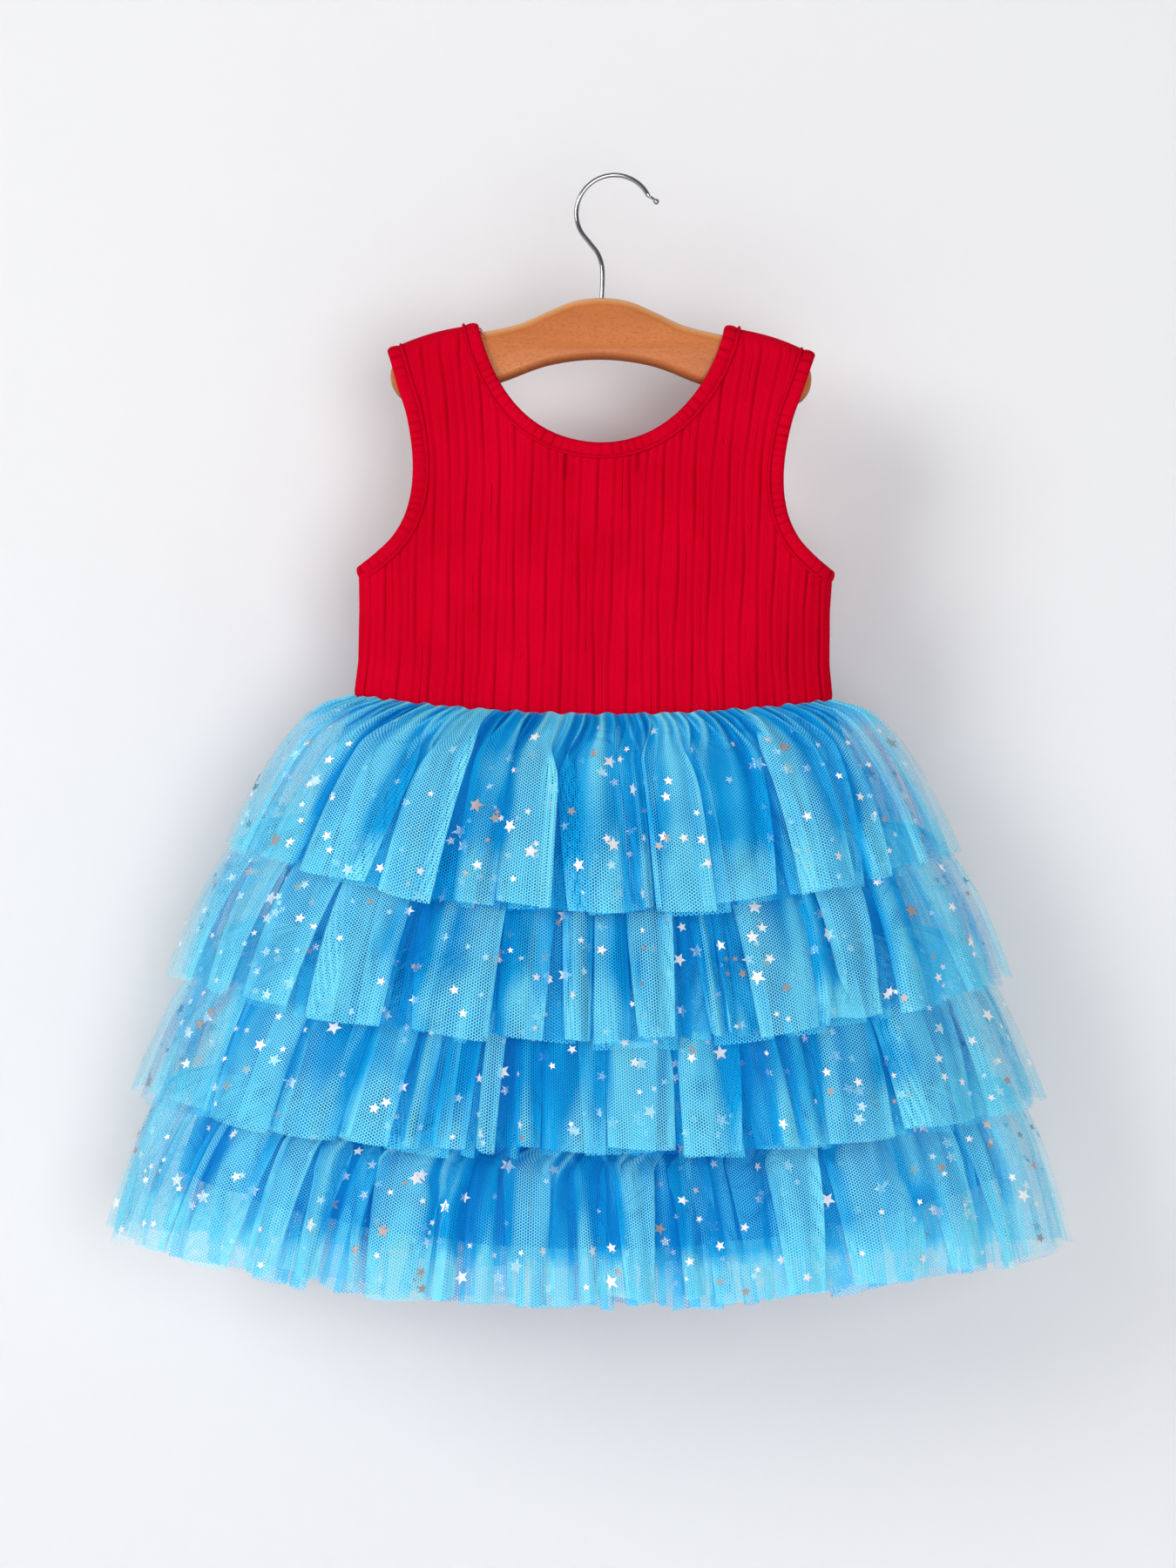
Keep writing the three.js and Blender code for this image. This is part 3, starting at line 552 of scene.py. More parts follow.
def bodice_relief(x, z, side):
    out = np.zeros_like(x)
    for cx, cz, degrees, half_length, half_width, height in BODICE_FORMS:
        a = math.radians(degrees)
        dx, dz = x - side * cx, z - cz
        along = dx * math.cos(a) * side + dz * math.sin(a)
        across = -dx * math.sin(a) * side + dz * math.cos(a)
        out += height * np.exp(-((along / half_length) ** 2) - (across / half_width) ** 2)
    pinch = np.sin(x / 5.1 + 1.3 * np.sin(x / 17)) * np.sin(x / 23 + 0.7)
    return out + 0.45 * pinch * np.exp(-np.maximum(z - waist_z(x), 0) / 11)


# The knit mesh's columns at each rib, measured from its groove.
RIB_STEPS = np.array([
    -2.1, -1.5, -1.0, -0.6, -0.25, 0.0, 0.25, 0.6, 1.0, 1.5, 2.1, 2.9, 3.8, 4.3, 4.75, 5.2, 5.7, 6.6])

# A label is sewn on inside the back. It makes short tucks, given by their place and their lower
# and upper end, and its stitches show as two short bars, given by their middles.
LABEL_TUCKS = [(-19.0, -181.0, -160.0), (22.7, -177.0, -160.0)]
LABEL_BARS = [(-16.6, -173.6), (25.4, -176.1)]


def panel_grid():
    """A knit panel's mesh: lengths of cloth from the centre line, and shares of the way down."""
    ribs = np.arange(-17, 17)
    lengths = np.unique(np.round((ribs[:, None] * RIB_PITCH + RIB_STEPS[None]).ravel(), 3))
    lengths = np.concatenate([[-HALF_GIRTH], lengths[np.abs(lengths) < HALF_GIRTH - 0.1], [HALF_GIRTH]])
    over_fold = FOLD_RADIUS * (1 - np.cos(np.linspace(0, math.pi / 2, 9)))
    below = np.concatenate([over_fold, np.arange(10.3, 214, 2.05), [215.5]])
    return np.meshgrid(lengths, below / below[-1])


def rib_forms(length, z):
    """From 0 to 1: the grooves between ribs, weak lines half way between those, and the grooves' lips."""
    rib = np.round(length / RIB_PITCH)
    off_rib = np.abs(length - rib * RIB_PITCH)
    deep = np.exp(-((off_rib / 0.95) ** 2)) * (0.85 + 0.15 * np.sin(rib * 3.1 + z / 17))
    weak = np.exp(-(((off_rib - RIB_PITCH / 2) / 0.6) ** 2)) * (0.5 + 0.5 * np.sin(rib * 5.3 + z / 23))
    lip = np.exp(-(((off_rib - 2.0) / 0.75) ** 2))
    return deep, weak, lip


def label_tucks(x, z):
    tucks = np.zeros_like(x)
    for tuck_x, low, high in LABEL_TUCKS:
        along_tuck = smooth01((z - low) / 8) * smooth01((high - z) / 2)
        tucks += along_tuck * np.exp(-(((x - tuck_x) / 1.1) ** 2))
    return tucks


def bodice_panel(name, side, drop, wander):
    """A rib-knit panel. side is -1 for the dress's back and +1 for its front."""
    length, share = panel_grid()
    z = lerp(shoulder_z(length), waist_z(length), share)
    for _ in range(6):
        x = x_at_length(length, z) * strap_lean(z)
        z = lerp(shoulder_z(x), waist_z(x) - 0.4, share)
    rib = np.round(length / RIB_PITCH)
    sway = 0.45 * np.sin(z / 31 + rib * 1.7 + wander) + 0.3 * np.sin(z / 12.5 + rib * 2.9)
    calm = smooth01((HALF_GIRTH - np.abs(length)) / 6)
    x = x_at_length(length + sway * calm, z) * strap_lean(z)
    at_fold = smooth01((shoulder_z(x) - z - 0.5) / 9)
    deep, weak, lip = rib_forms(length, z)
    tuck = label_tucks(x, z) if side < 0 else np.zeros_like(x)
    height = 0.78 - at_fold * (0.74 * deep + 0.16 * weak - 0.26 * lip) - 0.7 * tuck
    flat = np.stack([x.ravel(), z.ravel()], 1)
    edges = np.concatenate([neck_line(drop)[::4], ARMHOLE_LINE[::3], ARMHOLE_LINE[::3] * [-1, 1]])
    gap = distance_to(flat, edges).reshape(x.shape)
    soft = bodice_relief(x, z, side) * smooth01((gap - 6) / 20) * smooth01((side_half(z) - np.abs(x)) / 25)
    hem = clamp01(1 - (z - waist_z(x)) / 4.5)
    out = KNIT_HALF + height + soft - 1.5 * hem**2
    n = bodice_normal(x, z)
    y = bodice_y(x, z)
    points = np.stack([x + n[..., 0] * out, side * (y + n[..., 1] * out), z + n[..., 2] * out], -1)
    outside = beyond_neck(x, z, drop) | beyond_armhole(x, z) | (gap < 3.4)
    faces = grid_faces(*x.shape)
    faces = faces[~outside.ravel()[faces].any(1)]
    if side > 0:
        faces = faces[:, ::-1]
    steps = np.linalg.norm(np.diff(points, axis=0), axis=2)
    down = np.cumsum(np.concatenate([np.zeros((1, x.shape[1])), steps]), 0)
    # Painted shade for the knit's colour: in the rib grooves and weak lines below the bend over the hanger,
    # and in the label's tucks.
    painted_groove_shade = clamp01(at_fold * (deep**3 + 0.35 * weak) + 0.8 * tuck)
    return mesh_piece(name, points, faces, [KNIT], np.stack([length, down], -1), {"painted_groove_shade": painted_groove_shade})


def cloth_line(line, side):
    """Points on the middle of the bodice's cloth and their normals, along a line in x and z."""
    x, z = line[:, 0], line[:, 1]
    n = bodice_normal(x, z)
    y = bodice_y(x, z)
    return np.stack([x, side * y, z, n[:, 0], side * n[:, 1], n[:, 2]], 1)


# A band's section, by place across from the edge and height: a soft roll, the sewn groove, and
# the raised edge of the fold.
BAND_GROOVE = 7.4
BAND_PROFILE = [
    (-0.2, 0.3), (-0.15, 1.5), (0.4, 2.35), (1.5, 2.95), (3.0, 3.15), (4.6, 3.0), (6.0, 2.6), (6.9, 2.1),
    (BAND_GROOVE, 1.5), (7.8, 2.2), (8.4, 3.0), (9.0, 3.0), (9.5, 2.2), (9.7, 0.9), (9.2, 0.0),
    (BAND_GROOVE, -0.9), (3.5, -1.0), (0.7, -0.9)]
BAND_STEP = 0.8
BAND_RIB_PITCH = 4.7
STITCH_PITCH, STITCH_LENGTH, STITCH_HEIGHT = 2.4, 1.9, 1.7


def band_frames(back, front, inward):
    """Stations round an edge: centre, across, normal, along and running length. inward is a
    function that gives the way to the panel at each of them."""
    ring = np.concatenate([cloth_line(back, -1), cloth_line(front, 1)[1:-1][::-1]])
    ring = np.concatenate([ring, ring[:1]])
    run = lengths_along(ring[:, :3])
    count = int(run[-1] / BAND_STEP)
    at = np.linspace(0, run[-1], count, endpoint=False)
    ring = points_at(ring, run, at)
    centre, normal = ring[:, :3], ring[:, 3:]
    normal = unit(sum(np.roll(normal, k, 0) for k in (-2, -1, 0, 1, 2)))
    along = unit(np.roll(centre, -2, 0) - np.roll(centre, 2, 0))
    across = unit(np.cross(along, normal))
    if (across * inward(centre)).sum() < 0:
        across = -across
    return centre, across, normal, along, at


def binding(name, frames):
    centre, across, normal, along, run = frames
    in_rib = (run + 1.3 * np.sin(run / 5)) % BAND_RIB_PITCH - BAND_RIB_PITCH / 2
    ticks = -0.5 * np.exp(-((in_rib / 0.6) ** 2)) * (0.6 + 0.4 * np.sin(run / 7))
    swell = 0.14 * np.sin(run / 19) + 0.08 * np.sin(run / 6.3)
    profile = np.array(BAND_PROFILE)
    top = (profile[:, 1] > 1.2) & (profile[:, 0] < 7)
    out = profile[None, :, 1] + np.where(top, ticks[:, None] + swell[:, None], 0)
    wide = profile[None, :, 0] + 0.12 * np.sin(run / 11)[:, None]
    points = centre[:, None] + across[:, None] * wide[..., None] + normal[:, None] * out[..., None]
    count = len(profile)
    faces = grid_faces(len(run), count, wrap_columns=True, wrap_rows=True)
    facing = np.cross(points[0, 4] - points[0, 3], points[1, 3] - points[0, 3])
    if (facing * normal[0]).sum() > 0:
        faces = faces[:, ::-1]
    uv = np.stack([np.broadcast_to(run[:, None], out.shape), np.broadcast_to(wide, out.shape)], -1)
    place = profile[None, :, 0]
    # Painted shade for the knit's colour: in the cross ribs, along the sewn groove and at the band's inner
    # edge.
    shade = clamp01(-ticks[:, None] * 1.5 * top + (place == BAND_GROOVE) * 0.9 + (place > 9.4) * 0.5)
    return mesh_piece(name, points, faces, [KNIT], uv, {"painted_groove_shade": shade})


def stitch_solid():
    """A short stitch, 1 long on X and 1 in radius, as points and triangles."""
    rings = [(-0.3, 0.8), (0.0, 1.0), (0.3, 0.8)]
    turn = np.arange(6) * math.pi / 3
    points = [(-0.5, 0, 0)]
    for x, r in rings:
        points += [(x, r * math.cos(a), r * math.sin(a)) for a in turn]
    points.append((0.5, 0, 0))
    faces = []
    for k in range(6):
        m = (k + 1) % 6
        faces.append((0, 1 + m, 1 + k))
        for ring in range(2):
            a, b = 1 + ring * 6, 7 + ring * 6
            faces += [(a + k, a + m, b + m), (a + k, b + m, b + k)]
        faces.append((13 + k, 13 + m, 19))
    return np.array(points, float), np.array(faces)


def stitches(name, places, material=None):
    """A piece of many stitches. places holds their centre, direction times length, and normal."""
    points, faces = stitch_solid()
    centre, reach, normal = np.array(places, float).transpose(1, 0, 2)[:, :, None]
    wide = unit(np.cross(unit(reach), normal)) * 0.2
    high = unit(normal) * 0.16
    every = centre + points[:, :1] * reach + points[:, 1:2] * wide + points[:, 2:] * high
    all_faces = faces + len(points) * np.arange(len(places))[:, None, None]
    return mesh_piece(name, every, all_faces.reshape(-1, 3), [material or THREAD])


def band_stitches(frames):
    """Places of the stitches along a band's groove."""
    centre, across, normal, along, run = frames
    step = int(round(STITCH_PITCH / BAND_STEP))
    at = centre + across * BAND_GROOVE + normal * STITCH_HEIGHT
    return [(at[i], along[i] * STITCH_LENGTH, normal[i]) for i in range(0, len(run) - step // 2, step)]


def build_bodice():
    back = bodice_panel("knit_back", -1, BACK_DROP, 0.0)
    front = bodice_panel("knit_front", 1, FRONT_DROP, 2.1)
    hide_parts("bodice_back")
    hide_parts("bodice_front")
    neck = band_frames(resampled(neck_line(BACK_DROP), 0.3), resampled(neck_line(FRONT_DROP), 0.3),
                       lambda c: c - [0, 0, -105])
    neck_piece = binding("knit_neck_binding", neck)
    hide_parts("neck_binding")
    fine = resampled(ARMHOLE_LINE, 0.3)
    places = band_stitches(neck)
    bands = [neck_piece]
    for word, side in (("left", -1), ("right", 1)):
        line = fine * [side, 1]
        frames = band_frames(line, line, lambda c: np.array([-side, 0, -0.3]) + 0 * c)
        piece = binding(f"knit_armhole_binding_{word}", frames)
        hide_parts(f"armhole_binding_{word}")
        places += band_stitches(frames)
        bands.append(piece)
    sewing = stitches("binding_stitches", places)
    return back, front, bands, sewing


def label_stitches():
    """Two short bars of stitches on the back, where a label is sewn on inside."""
    places = []
    for bar_x, bar_z in LABEL_BARS:
        for k in range(4):
            x, z = bar_x + 0.2 * (-1) ** k, bar_z + 2.4 - 1.6 * k
            y = -(bodice_y(np.array(x), np.array(z)) + 1.75)
            places.append(((x, y, z), (0.15, 0, 1.5), (0, -1, 0)))
    return stitches("label_stitches", places)


TUFT_AT = (-71.6, -4.0, -90.6)


def loose_threads():
    """A small tuft of thread ends where the left shoulder seam meets the neck."""
    rng = np.random.default_rng(11)
    points, faces, count = [], [], 0
    for k in range(9):
        lean, reach = rng.uniform(0.3, 1.2), rng.uniform(2.5, 5.5)
        t = np.linspace(0, 1, 14)[:, None]
        start = TUFT_AT + np.array([rng.uniform(-0.6, 0.6), rng.uniform(-1.5, 1.5), rng.uniform(-1.5, 1.0)])
        way = np.array([lean, rng.uniform(-0.9, 0.1), rng.uniform(-0.8, 0.3)])
        curl = np.array([rng.uniform(-1.6, 0.6), rng.uniform(-1, 1), rng.uniform(-3.4, -1.0)])
        line = start + unit(way) * reach * t + curl * t**2 + 0.3 * np.sin(t * rng.uniform(5, 11)) * [1, 0, 1]
        p, f = tube(line, 0.16 * (1 - 0.75 * t[:, 0] ** 3), 6)
        points.append(p)
        faces.append(f + count)
        count += len(p)
    return mesh_piece("loose_thread_ends", np.concatenate(points), np.concatenate(faces), [THREAD])


# The skirt

def section_depth(share, depth):
    s = np.minimum(np.abs(share), 1)
    return FOLD_RADIUS * np.sqrt(1 - s**8) + depth * (1 - s**2.6) ** 0.65


def even_angle_table():
    """Angles for even steps round a ring of the skirt's usual shape, as two columns."""
    half, depth = 210.0, 55.0
    a = np.linspace(0, 2 * math.pi, 8001)
    y = np.sign(np.sin(a)) * section_depth(np.cos(a), depth)
    run = lengths_along(np.stack([half * np.cos(a), y], 1))
    return run / run[-1], a


EVEN_RUN, EVEN_ANGLE = even_angle_table()


def angle_at(turn):
    """Angle from +X for a share of the way round the skirt."""
    whole = np.floor(turn)
    return np.interp(turn - whole, EVEN_RUN, EVEN_ANGLE) + 2 * math.pi * whole


def ring_between(top, hem, share, wide=1.0, deep=1.0):
    """Sizes of a ring of the skirt, at a share of the way from its top down to its hem."""
    return dict(
        half=lerp(top["half"], hem["half"], share**wide),
        depth=lerp(top["depth"], hem["depth"], share**deep),
        side_z=lerp(top["side_z"], hem["side_z"], share),
        middle_z=lerp(top["middle_z"], hem["middle_z"], share),
    )


def lining_ring(share):
    return ring_between(LINING_TOP, LINING_HEM, share, wide=0.9)


def skirt_points(ring, angle, out, drop=0.0):
    """Points of a ring of cloth, moved out of its section by out, and down by drop."""
    def at(a):
        y = np.sign(np.sin(a)) * section_depth(np.cos(a), ring["depth"])
        return np.stack([ring["half"] * np.cos(a), y], -1)
    along = unit(at(angle + 0.012) - at(angle - 0.012))
    p = at(angle)
    z = lerp(ring["side_z"], ring["middle_z"], np.sin(angle) ** 2) - drop
    return np.stack([p[..., 0] + along[..., 1] * out, p[..., 1] - along[..., 0] * out, z + 0 * out], -1)


def smooth_random(rng, count, at, low, high):
    """A closed run of random values, one for each fold, read smoothly at the phase 'at'."""
    values = rng.uniform(low, high, count)
    k = np.floor(at).astype(int)
    f = smooth01(at - k)
    return values[k % count] * (1 - f) + values[(k + 1) % count] * f


def doubled_for(overhang, turn):
    """Length of cloth doubled under at a fold of roundness turn that overhangs its neighbour."""
    share = np.linspace(1.01, 14.0, 400)
    steep = np.sqrt(1 - 1 / share)
    reach = 2 * share * steep - 2 * np.arctanh(steep)
    return 4 * turn * np.interp(overhang / turn, reach, share)


def fold_plan(rng, girth, count):
    """One layer's folds: raised panels, hollows between them, and the cloth doubled under where
    they meet. Levels go from 0 in a deep hollow to 1 on a high panel. Lengths are measured along
    the hem. Some hollows begin below the seam, some end above the hem, and all lean a little."""
    raised = np.arange(count) % 2 == 0
    widths = np.where(raised, rng.uniform(0.6, 2.2, count), rng.uniform(0.5, 1.7, count))
    widths = np.where(rng.random(count) < 0.35, 0.36 * widths, widths)
    widths = widths / widths.sum() * girth
    ends = np.cumsum(widths) - widths[0] / 2
    turn = rng.uniform(1.5, 3.2, count)
    room = np.minimum(widths, np.roll(widths, -1))
    doubled = doubled_for(0.45 * room * rng.uniform(0.3, 1.0, count), turn)
    hollow = np.where(raised, np.arange(count) + 1, np.arange(count)) % count
    pick = rng.random(count)
    narrowed = np.where(raised, 1.0, -1.0) * 0.3 * widths[hollow]
    return dict(
        at=ends + np.cumsum(doubled) - doubled / 2,
        doubled=doubled,
        turn=turn,
        raised=raised,
        middles=ends - widths / 2,
        widths=widths,
        level=np.where(raised, rng.uniform(0.3, 1.0, count), rng.uniform(0.0, 0.25, count)),
        hollow=hollow,
        begins=np.where(pick < 0.28, rng.uniform(0.05, 0.4, count), -0.3),
        stops=np.where(pick > 0.97, rng.uniform(0.5, 0.75, count), 2.0),
        shift=narrowed + rng.uniform(-7.0, 7.0, count)[hollow],
        full=girth + doubled.sum(),
        girth=girth,
        drop=rng.uniform(-3.2, 3.2, count) + np.where(raised, 0.8, -0.8),
        tilt=rng.uniform(-1.0, 1.0, count),
        bulge=np.where(raised, 1.0, -0.5) * rng.uniform(0.6, 1.6, count),
    )


def fold_columns(plan, count):
    """Positions of the mesh's columns along the flat cloth, closer together where it folds."""
    u = np.linspace(0, plan["full"], 12000)
    near = np.exp(-(((u[:, None] - plan["at"]) / (3.2 * plan["turn"])) ** 2)).sum(1)
    run = np.concatenate([[0], np.cumsum((1 + 1.5 * near)[:-1])])
    return np.interp(np.linspace(0, run[-1], count + 1), run, u)


SLACK_TURN = 12.0  # how round the cloth is where a fold has opened out


def folded(plan, u, share):
    """Reads a fold plan at rows of share and columns of u: place round the skirt from 0 to 1,
    level, lean and crown of the panels, and how much lower the hem hangs."""
    rows = share[:, :, None]
    is_open = smooth01((rows - plan["begins"]) / 0.3) * (1 - smooth01((rows - plan["stops"]) / 0.3))
    beside = (np.roll(plan["level"], 1) + np.roll(plan["level"], -1)) / 2
    level = np.where(plan["raised"], plan["level"], lerp(beside, plan["level"], is_open))
    is_open = is_open[..., plan["hollow"]]
    steepness = lerp(1 / SLACK_TURN, 1 / plan["turn"], is_open)
    step = 0.5 + 0.5 * np.tanh((u[None, :, None] - plan["at"] - (1 - rows) * plan["shift"]) * steepness / 2)
    place = (u[None] - (plan["doubled"] * step).sum(2)) / plan["girth"]
    inside = np.roll(step, 1, 2) - step
    inside[..., 0] = 1 - step[..., 0] + step[..., -1]
    off = place[..., None] * plan["girth"] - plan["middles"]
    off = ((off + plan["girth"] / 2) % plan["girth"] - plan["girth"] / 2) / plan["widths"]
    lean = (inside * np.clip(off, -0.7, 0.7) * plan["tilt"]).sum(2)
    crown = (inside * plan["bulge"] * (1 - np.minimum(4 * off**2, 1.6))).sum(2)
    drop = (inside * plan["drop"]).sum(2)
    return place, (inside * level).sum(2), lean, crown, drop


def tier_surface(spec, layer, seed):
    """Points of one layer of a tulle tier, the columns' places on the flat cloth, and the values
    that its material reads. layer is 0 for the outer one and 1 for the inner one."""
    rng = np.random.default_rng(seed)
    girth = 2 * (2.06 * spec["half"] + 0.9 * spec["depth"])
    plan = fold_plan(rng, girth, int(girth / FOLD_SPACING) * 2)
    u = fold_columns(plan, TIER_COLUMNS)
    share = (np.linspace(0, 1, TIER_ROWS) ** 1.1)[:, None]
    ring = ring_between(lining_ring(spec["sewn"]), spec, share, spec["wide"], spec["deep"])
    place, level, lean, crown, drop = folded(plan, u, share)
    flat = u / plan["full"]
    slow = np.sin(2 * math.pi * (3 * flat + 0.3 * seed))
    quick = np.sin(2 * math.pi * (7 * flat + 0.17 * seed))
    wander = (0.16 * slow + 0.12 * quick) / MAIN_FOLDS
    angle = angle_at(lerp(flat, place, smooth01(share / 0.24)) + wander * share)
    at_side = np.abs(np.cos(angle)) ** 4
    side = lerp(1.0, 0.5, np.abs(np.cos(angle)) ** 6)
    fine = smooth_random(rng, PUCKERS, PUCKERS * flat, -1.0, 1.0)
    gathers = np.cos(2 * math.pi * PUCKERS * flat + 1.9 * fine)
    ripple = smooth_random(rng, RIPPLES, RIPPLES * flat, -1.0, 1.0)
    soft = smooth_random(rng, SOFT_FOLDS, SOFT_FOLDS * flat, -1.0, 1.0) * smooth01(share / 0.2)
    streak = np.tanh(2.5 * smooth_random(rng, STREAKS, STREAKS * flat + 2.0 * share, -1.0, 1.0))
    level = level + 0.13 * soft
    if layer:
        folds = -3.2 + 5.5 * (level - 1.0) + 1.4 * lean + 0.8 * crown
    else:
        folds = -2.4 + 10.0 * level + 4.5 * lean + 3.2 * crown
    out = 2.6 * (1 - share) + folds * lerp(0.22, 1.0, share**0.75) * side
    out = out + 3.0 * (0.6 + gathers) * (1 - share) ** 2.4 * smooth01(share / 0.06 + 0.3)
    out = out + (1.0 * fine * share**0.5 * (1 - 0.4 * share) + 0.8 * ripple * share**0.8) * side
    points = skirt_points(ring, angle, out, drop=(drop + 2.4 * lean + 3.2 * layer) * share**3)
    if spec["sewn"] == 0:
        points[0, :, 2] += 1.2 + 0.9 * np.sin(flat * 91 * math.pi) * np.sin(flat * 23 * math.pi)
    points[:, -1] = points[:, 0]
    # Painted light and shade for the net's colour: painted light at the sides and along the hem, and with the
    # fold level, painted shade in the hollows and painted light on raised panels, on the side that a panel's
    # lean turns up, on crowns and on the outward gathers under the seam. Streaks add random tone.
    lit = 0.6 * at_side + spec["painted_hem_light"] * smooth01((share - 0.6) / 0.3)
    drawn_in = 0.3 * gathers * (1 - share) ** 3
    painted_shade_to_light = clamp01(level + 0.4 * lean + 0.15 * crown + 0.14 * streak + lit + drawn_in)
    dense = 0.3 * painted_shade_to_light + 0.1 * streak - 0.6 * at_side
    return points, u, {"painted_shade_to_light": painted_shade_to_light, "dense": dense}


def strip_uv(points, across=None):
    """Flat coordinates of a strip of cloth, its length and its height. across gives the places of
    its columns, which otherwise come from its hem's length."""
    if across is None:
        across = lengths_along(points[-1])
    down = np.cumsum(np.concatenate([[0], np.linalg.norm(np.diff(points, axis=0), axis=2).mean(1)]))
    return np.stack(np.meshgrid(across, down), -1), across[-1], down[-1]


def sampled(points, row, column):
    """Points between those of a grid."""
    r = np.clip(row, 0, points.shape[0] - 1.001)
    c = np.clip(column, 0, points.shape[1] - 1.001)
    i, j = r.astype(int), c.astype(int)
    fr, fc = (r - i)[..., None], (c - j)[..., None]
    return (points[i, j] * (1 - fr) * (1 - fc) + points[i, j + 1] * (1 - fr) * fc
            + points[i + 1, j] * fr * (1 - fc) + points[i + 1, j + 1] * fr * fc)


# Stars: share of all, radius to the tips in millimetres.
STAR_SIZES = [(0.45, 2.2), (0.35, 3.2), (0.20, 4.4)]
STAR_WAIST = 0.44
STARS_PER_SQUARE_METRE = 1850.0


def stars(name, points, seed):
    """Foil stars glued to a layer of tulle, bent with it."""
    rng = np.random.default_rng(seed)
    normals = grid_normals(points)
    cell_wide = np.linalg.norm(points[:-1, 1:] - points[:-1, :-1], axis=2)
    cell_high = np.linalg.norm(points[1:, :-1] - points[:-1, :-1], axis=2)
    area = (cell_wide * cell_high).ravel()
    count = int(area.sum() * 1e-6 * STARS_PER_SQUARE_METRE)
    chosen = rng.choice(area.size, count, p=area / area.sum())
    i, j = np.divmod(chosen, cell_wide.shape[1])
    row, column = i + rng.random(count), j + rng.random(count)
    shares, radii = zip(*STAR_SIZES)
    size = rng.choice(radii, count, p=shares) * rng.uniform(0.88, 1.12, count)
    spin = rng.uniform(0, 2 * math.pi, count)
    # A fifth of the stars, at random, get the darker foil: painted dull reflection.
    painted_dull = rng.random(count) < 0.2
    tip = np.arange(10) * math.pi / 5
    reach = np.where(np.arange(10) % 2 == 0, 1.0, STAR_WAIST)
    dx = np.concatenate([[0], reach * np.cos(tip)])
    dy = np.concatenate([[0], reach * np.sin(tip)])
    px = size[:, None] * (dx[None] * np.cos(spin)[:, None] - dy[None] * np.sin(spin)[:, None])
    py = size[:, None] * (dx[None] * np.sin(spin)[:, None] + dy[None] * np.cos(spin)[:, None])
    wide, high = np.maximum(cell_wide[i, j], 0.35)[:, None], cell_high[i, j][:, None]
    rows, cols = row[:, None] + py / high, column[:, None] + px / wide
    inside = (rows.min(1) > 1) & (rows.max(1) < points.shape[0] - 1.4)
    inside &= (cols.min(1) > 1) & (cols.max(1) < points.shape[1] - 2)
    rows, cols, painted_dull = rows[inside], cols[inside], painted_dull[inside]
    place = sampled(points, rows, cols) + 0.28 * unit(sampled(normals, rows, cols))
    # A star that a sharp fold would stretch or squeeze is left out.
    spans = np.maximum(size[inside][:, None] * reach[None], 1e-6)
    stretch = np.linalg.norm(place[:, 1:] - place[:, :1], axis=2) / spans
    whole = (stretch.max(1) < 1.35) & (stretch.min(1) > 0.6)
    place, painted_dull = place[whole], painted_dull[whole]
    base = np.arange(len(place))[:, None] * 11
    fan = np.stack([np.zeros(10, int), 1 + np.arange(10), 1 + (np.arange(10) + 1) % 10], 1)
    faces = (base[:, :, None] + fan[None]).reshape(-1, 3)
    return mesh_piece(name, place, faces, [SILVER, SILVER_PAINTED_DULL],
                      face_material=np.repeat(painted_dull.astype(int), 10))


def build_tier(number, spec):
    for layer, (word, net) in enumerate((("over", NET_OVER), ("under", NET_UNDER))):
        points, across, values = tier_surface(spec, layer, 10 * number + 3 * layer)
        uv, _, long = strip_uv(points, across)
        name = f"tulle_{number}_{word}"
        piece = mesh_piece(name, points, grid_faces(*points.shape[:2]), [net], uv, values)
        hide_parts(f"tulle_tier_{number}")
        starry = stars(name + "_stars", points, 100 * number + layer)


def build_lining():
    columns, rows, flutes = 640, 56, 22
    q = np.linspace(0, 1, columns + 1)[None]
    share = np.linspace(0, 1, rows)[:, None]
    rng = np.random.default_rng(5)
    phase = flutes * q + 0.18 * np.sin(2 * math.pi * 4 * q) * flutes / 12
    tall = smooth_random(rng, flutes, phase, 0.4, 1.25)
    angle = angle_at(q + 0.1 / flutes * np.sin(2 * math.pi * phase) * share)
    calm = lerp(1.0, 0.45, np.abs(np.cos(angle)) ** 6)
    flute = 4.0 * tall * np.cos(2 * math.pi * phase) * share**1.2 * calm
    fine = 0.35 * np.cos(2 * math.pi * 70 * q + 2 * np.sin(9 * q)) * (1 - share) ** 6
    ease = -1.2 * smooth01((share - 0.02) / 0.1)
    roll = -0.8 * smooth01((share - 0.985) / 0.015)
    points = skirt_points(lining_ring(share), angle, flute + fine + ease + roll)
    points[:, -1] = points[:, 0]
    uv, wide, long = strip_uv(points)
    faces = grid_faces(*points.shape[:2])
    piece = mesh_piece("satin_skirt_lining", points, faces, [LINING], uv)
    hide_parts("skirt_lining")
    normals = grid_normals(points)
    hem = rows - 5  # the row that the hem is sewn along
    places = []
    for c in range(2, columns, 2):
        reach = points[hem, c + 1] - points[hem, c - 1]
        places.append((points[hem, c] + normals[hem, c] * 0.15, unit(reach) * 2.0, normals[hem, c]))
    sewing = stitches("lining_hem_stitches", places, LINING)


# The hanger

# The wood's right half: over the top, round the tip, and back below.
WOOD_TOP = [(0, -70.8), (16, -72.8), (31, -78.8), (48, -86.4), (73.5, -92.3), (97, -96.8), (116.5, -105.2)]
WOOD_TIP = [(122.8, -113), (122, -124.5), (114, -132.5)]
WOOD_BELOW = [(90, -129.5), (60, -121.5), (30, -110.6), (0, -107)]
WOOD_THICK, WOOD_EDGE = 12.0, 5.5
HOOK_CENTRE, HOOK_RADIUS = (7.0, -21.0), 22.4
WIRE_RADIUS, BALL_NECK_RADIUS, BALL_RADIUS = 1.4, 0.85, 1.8


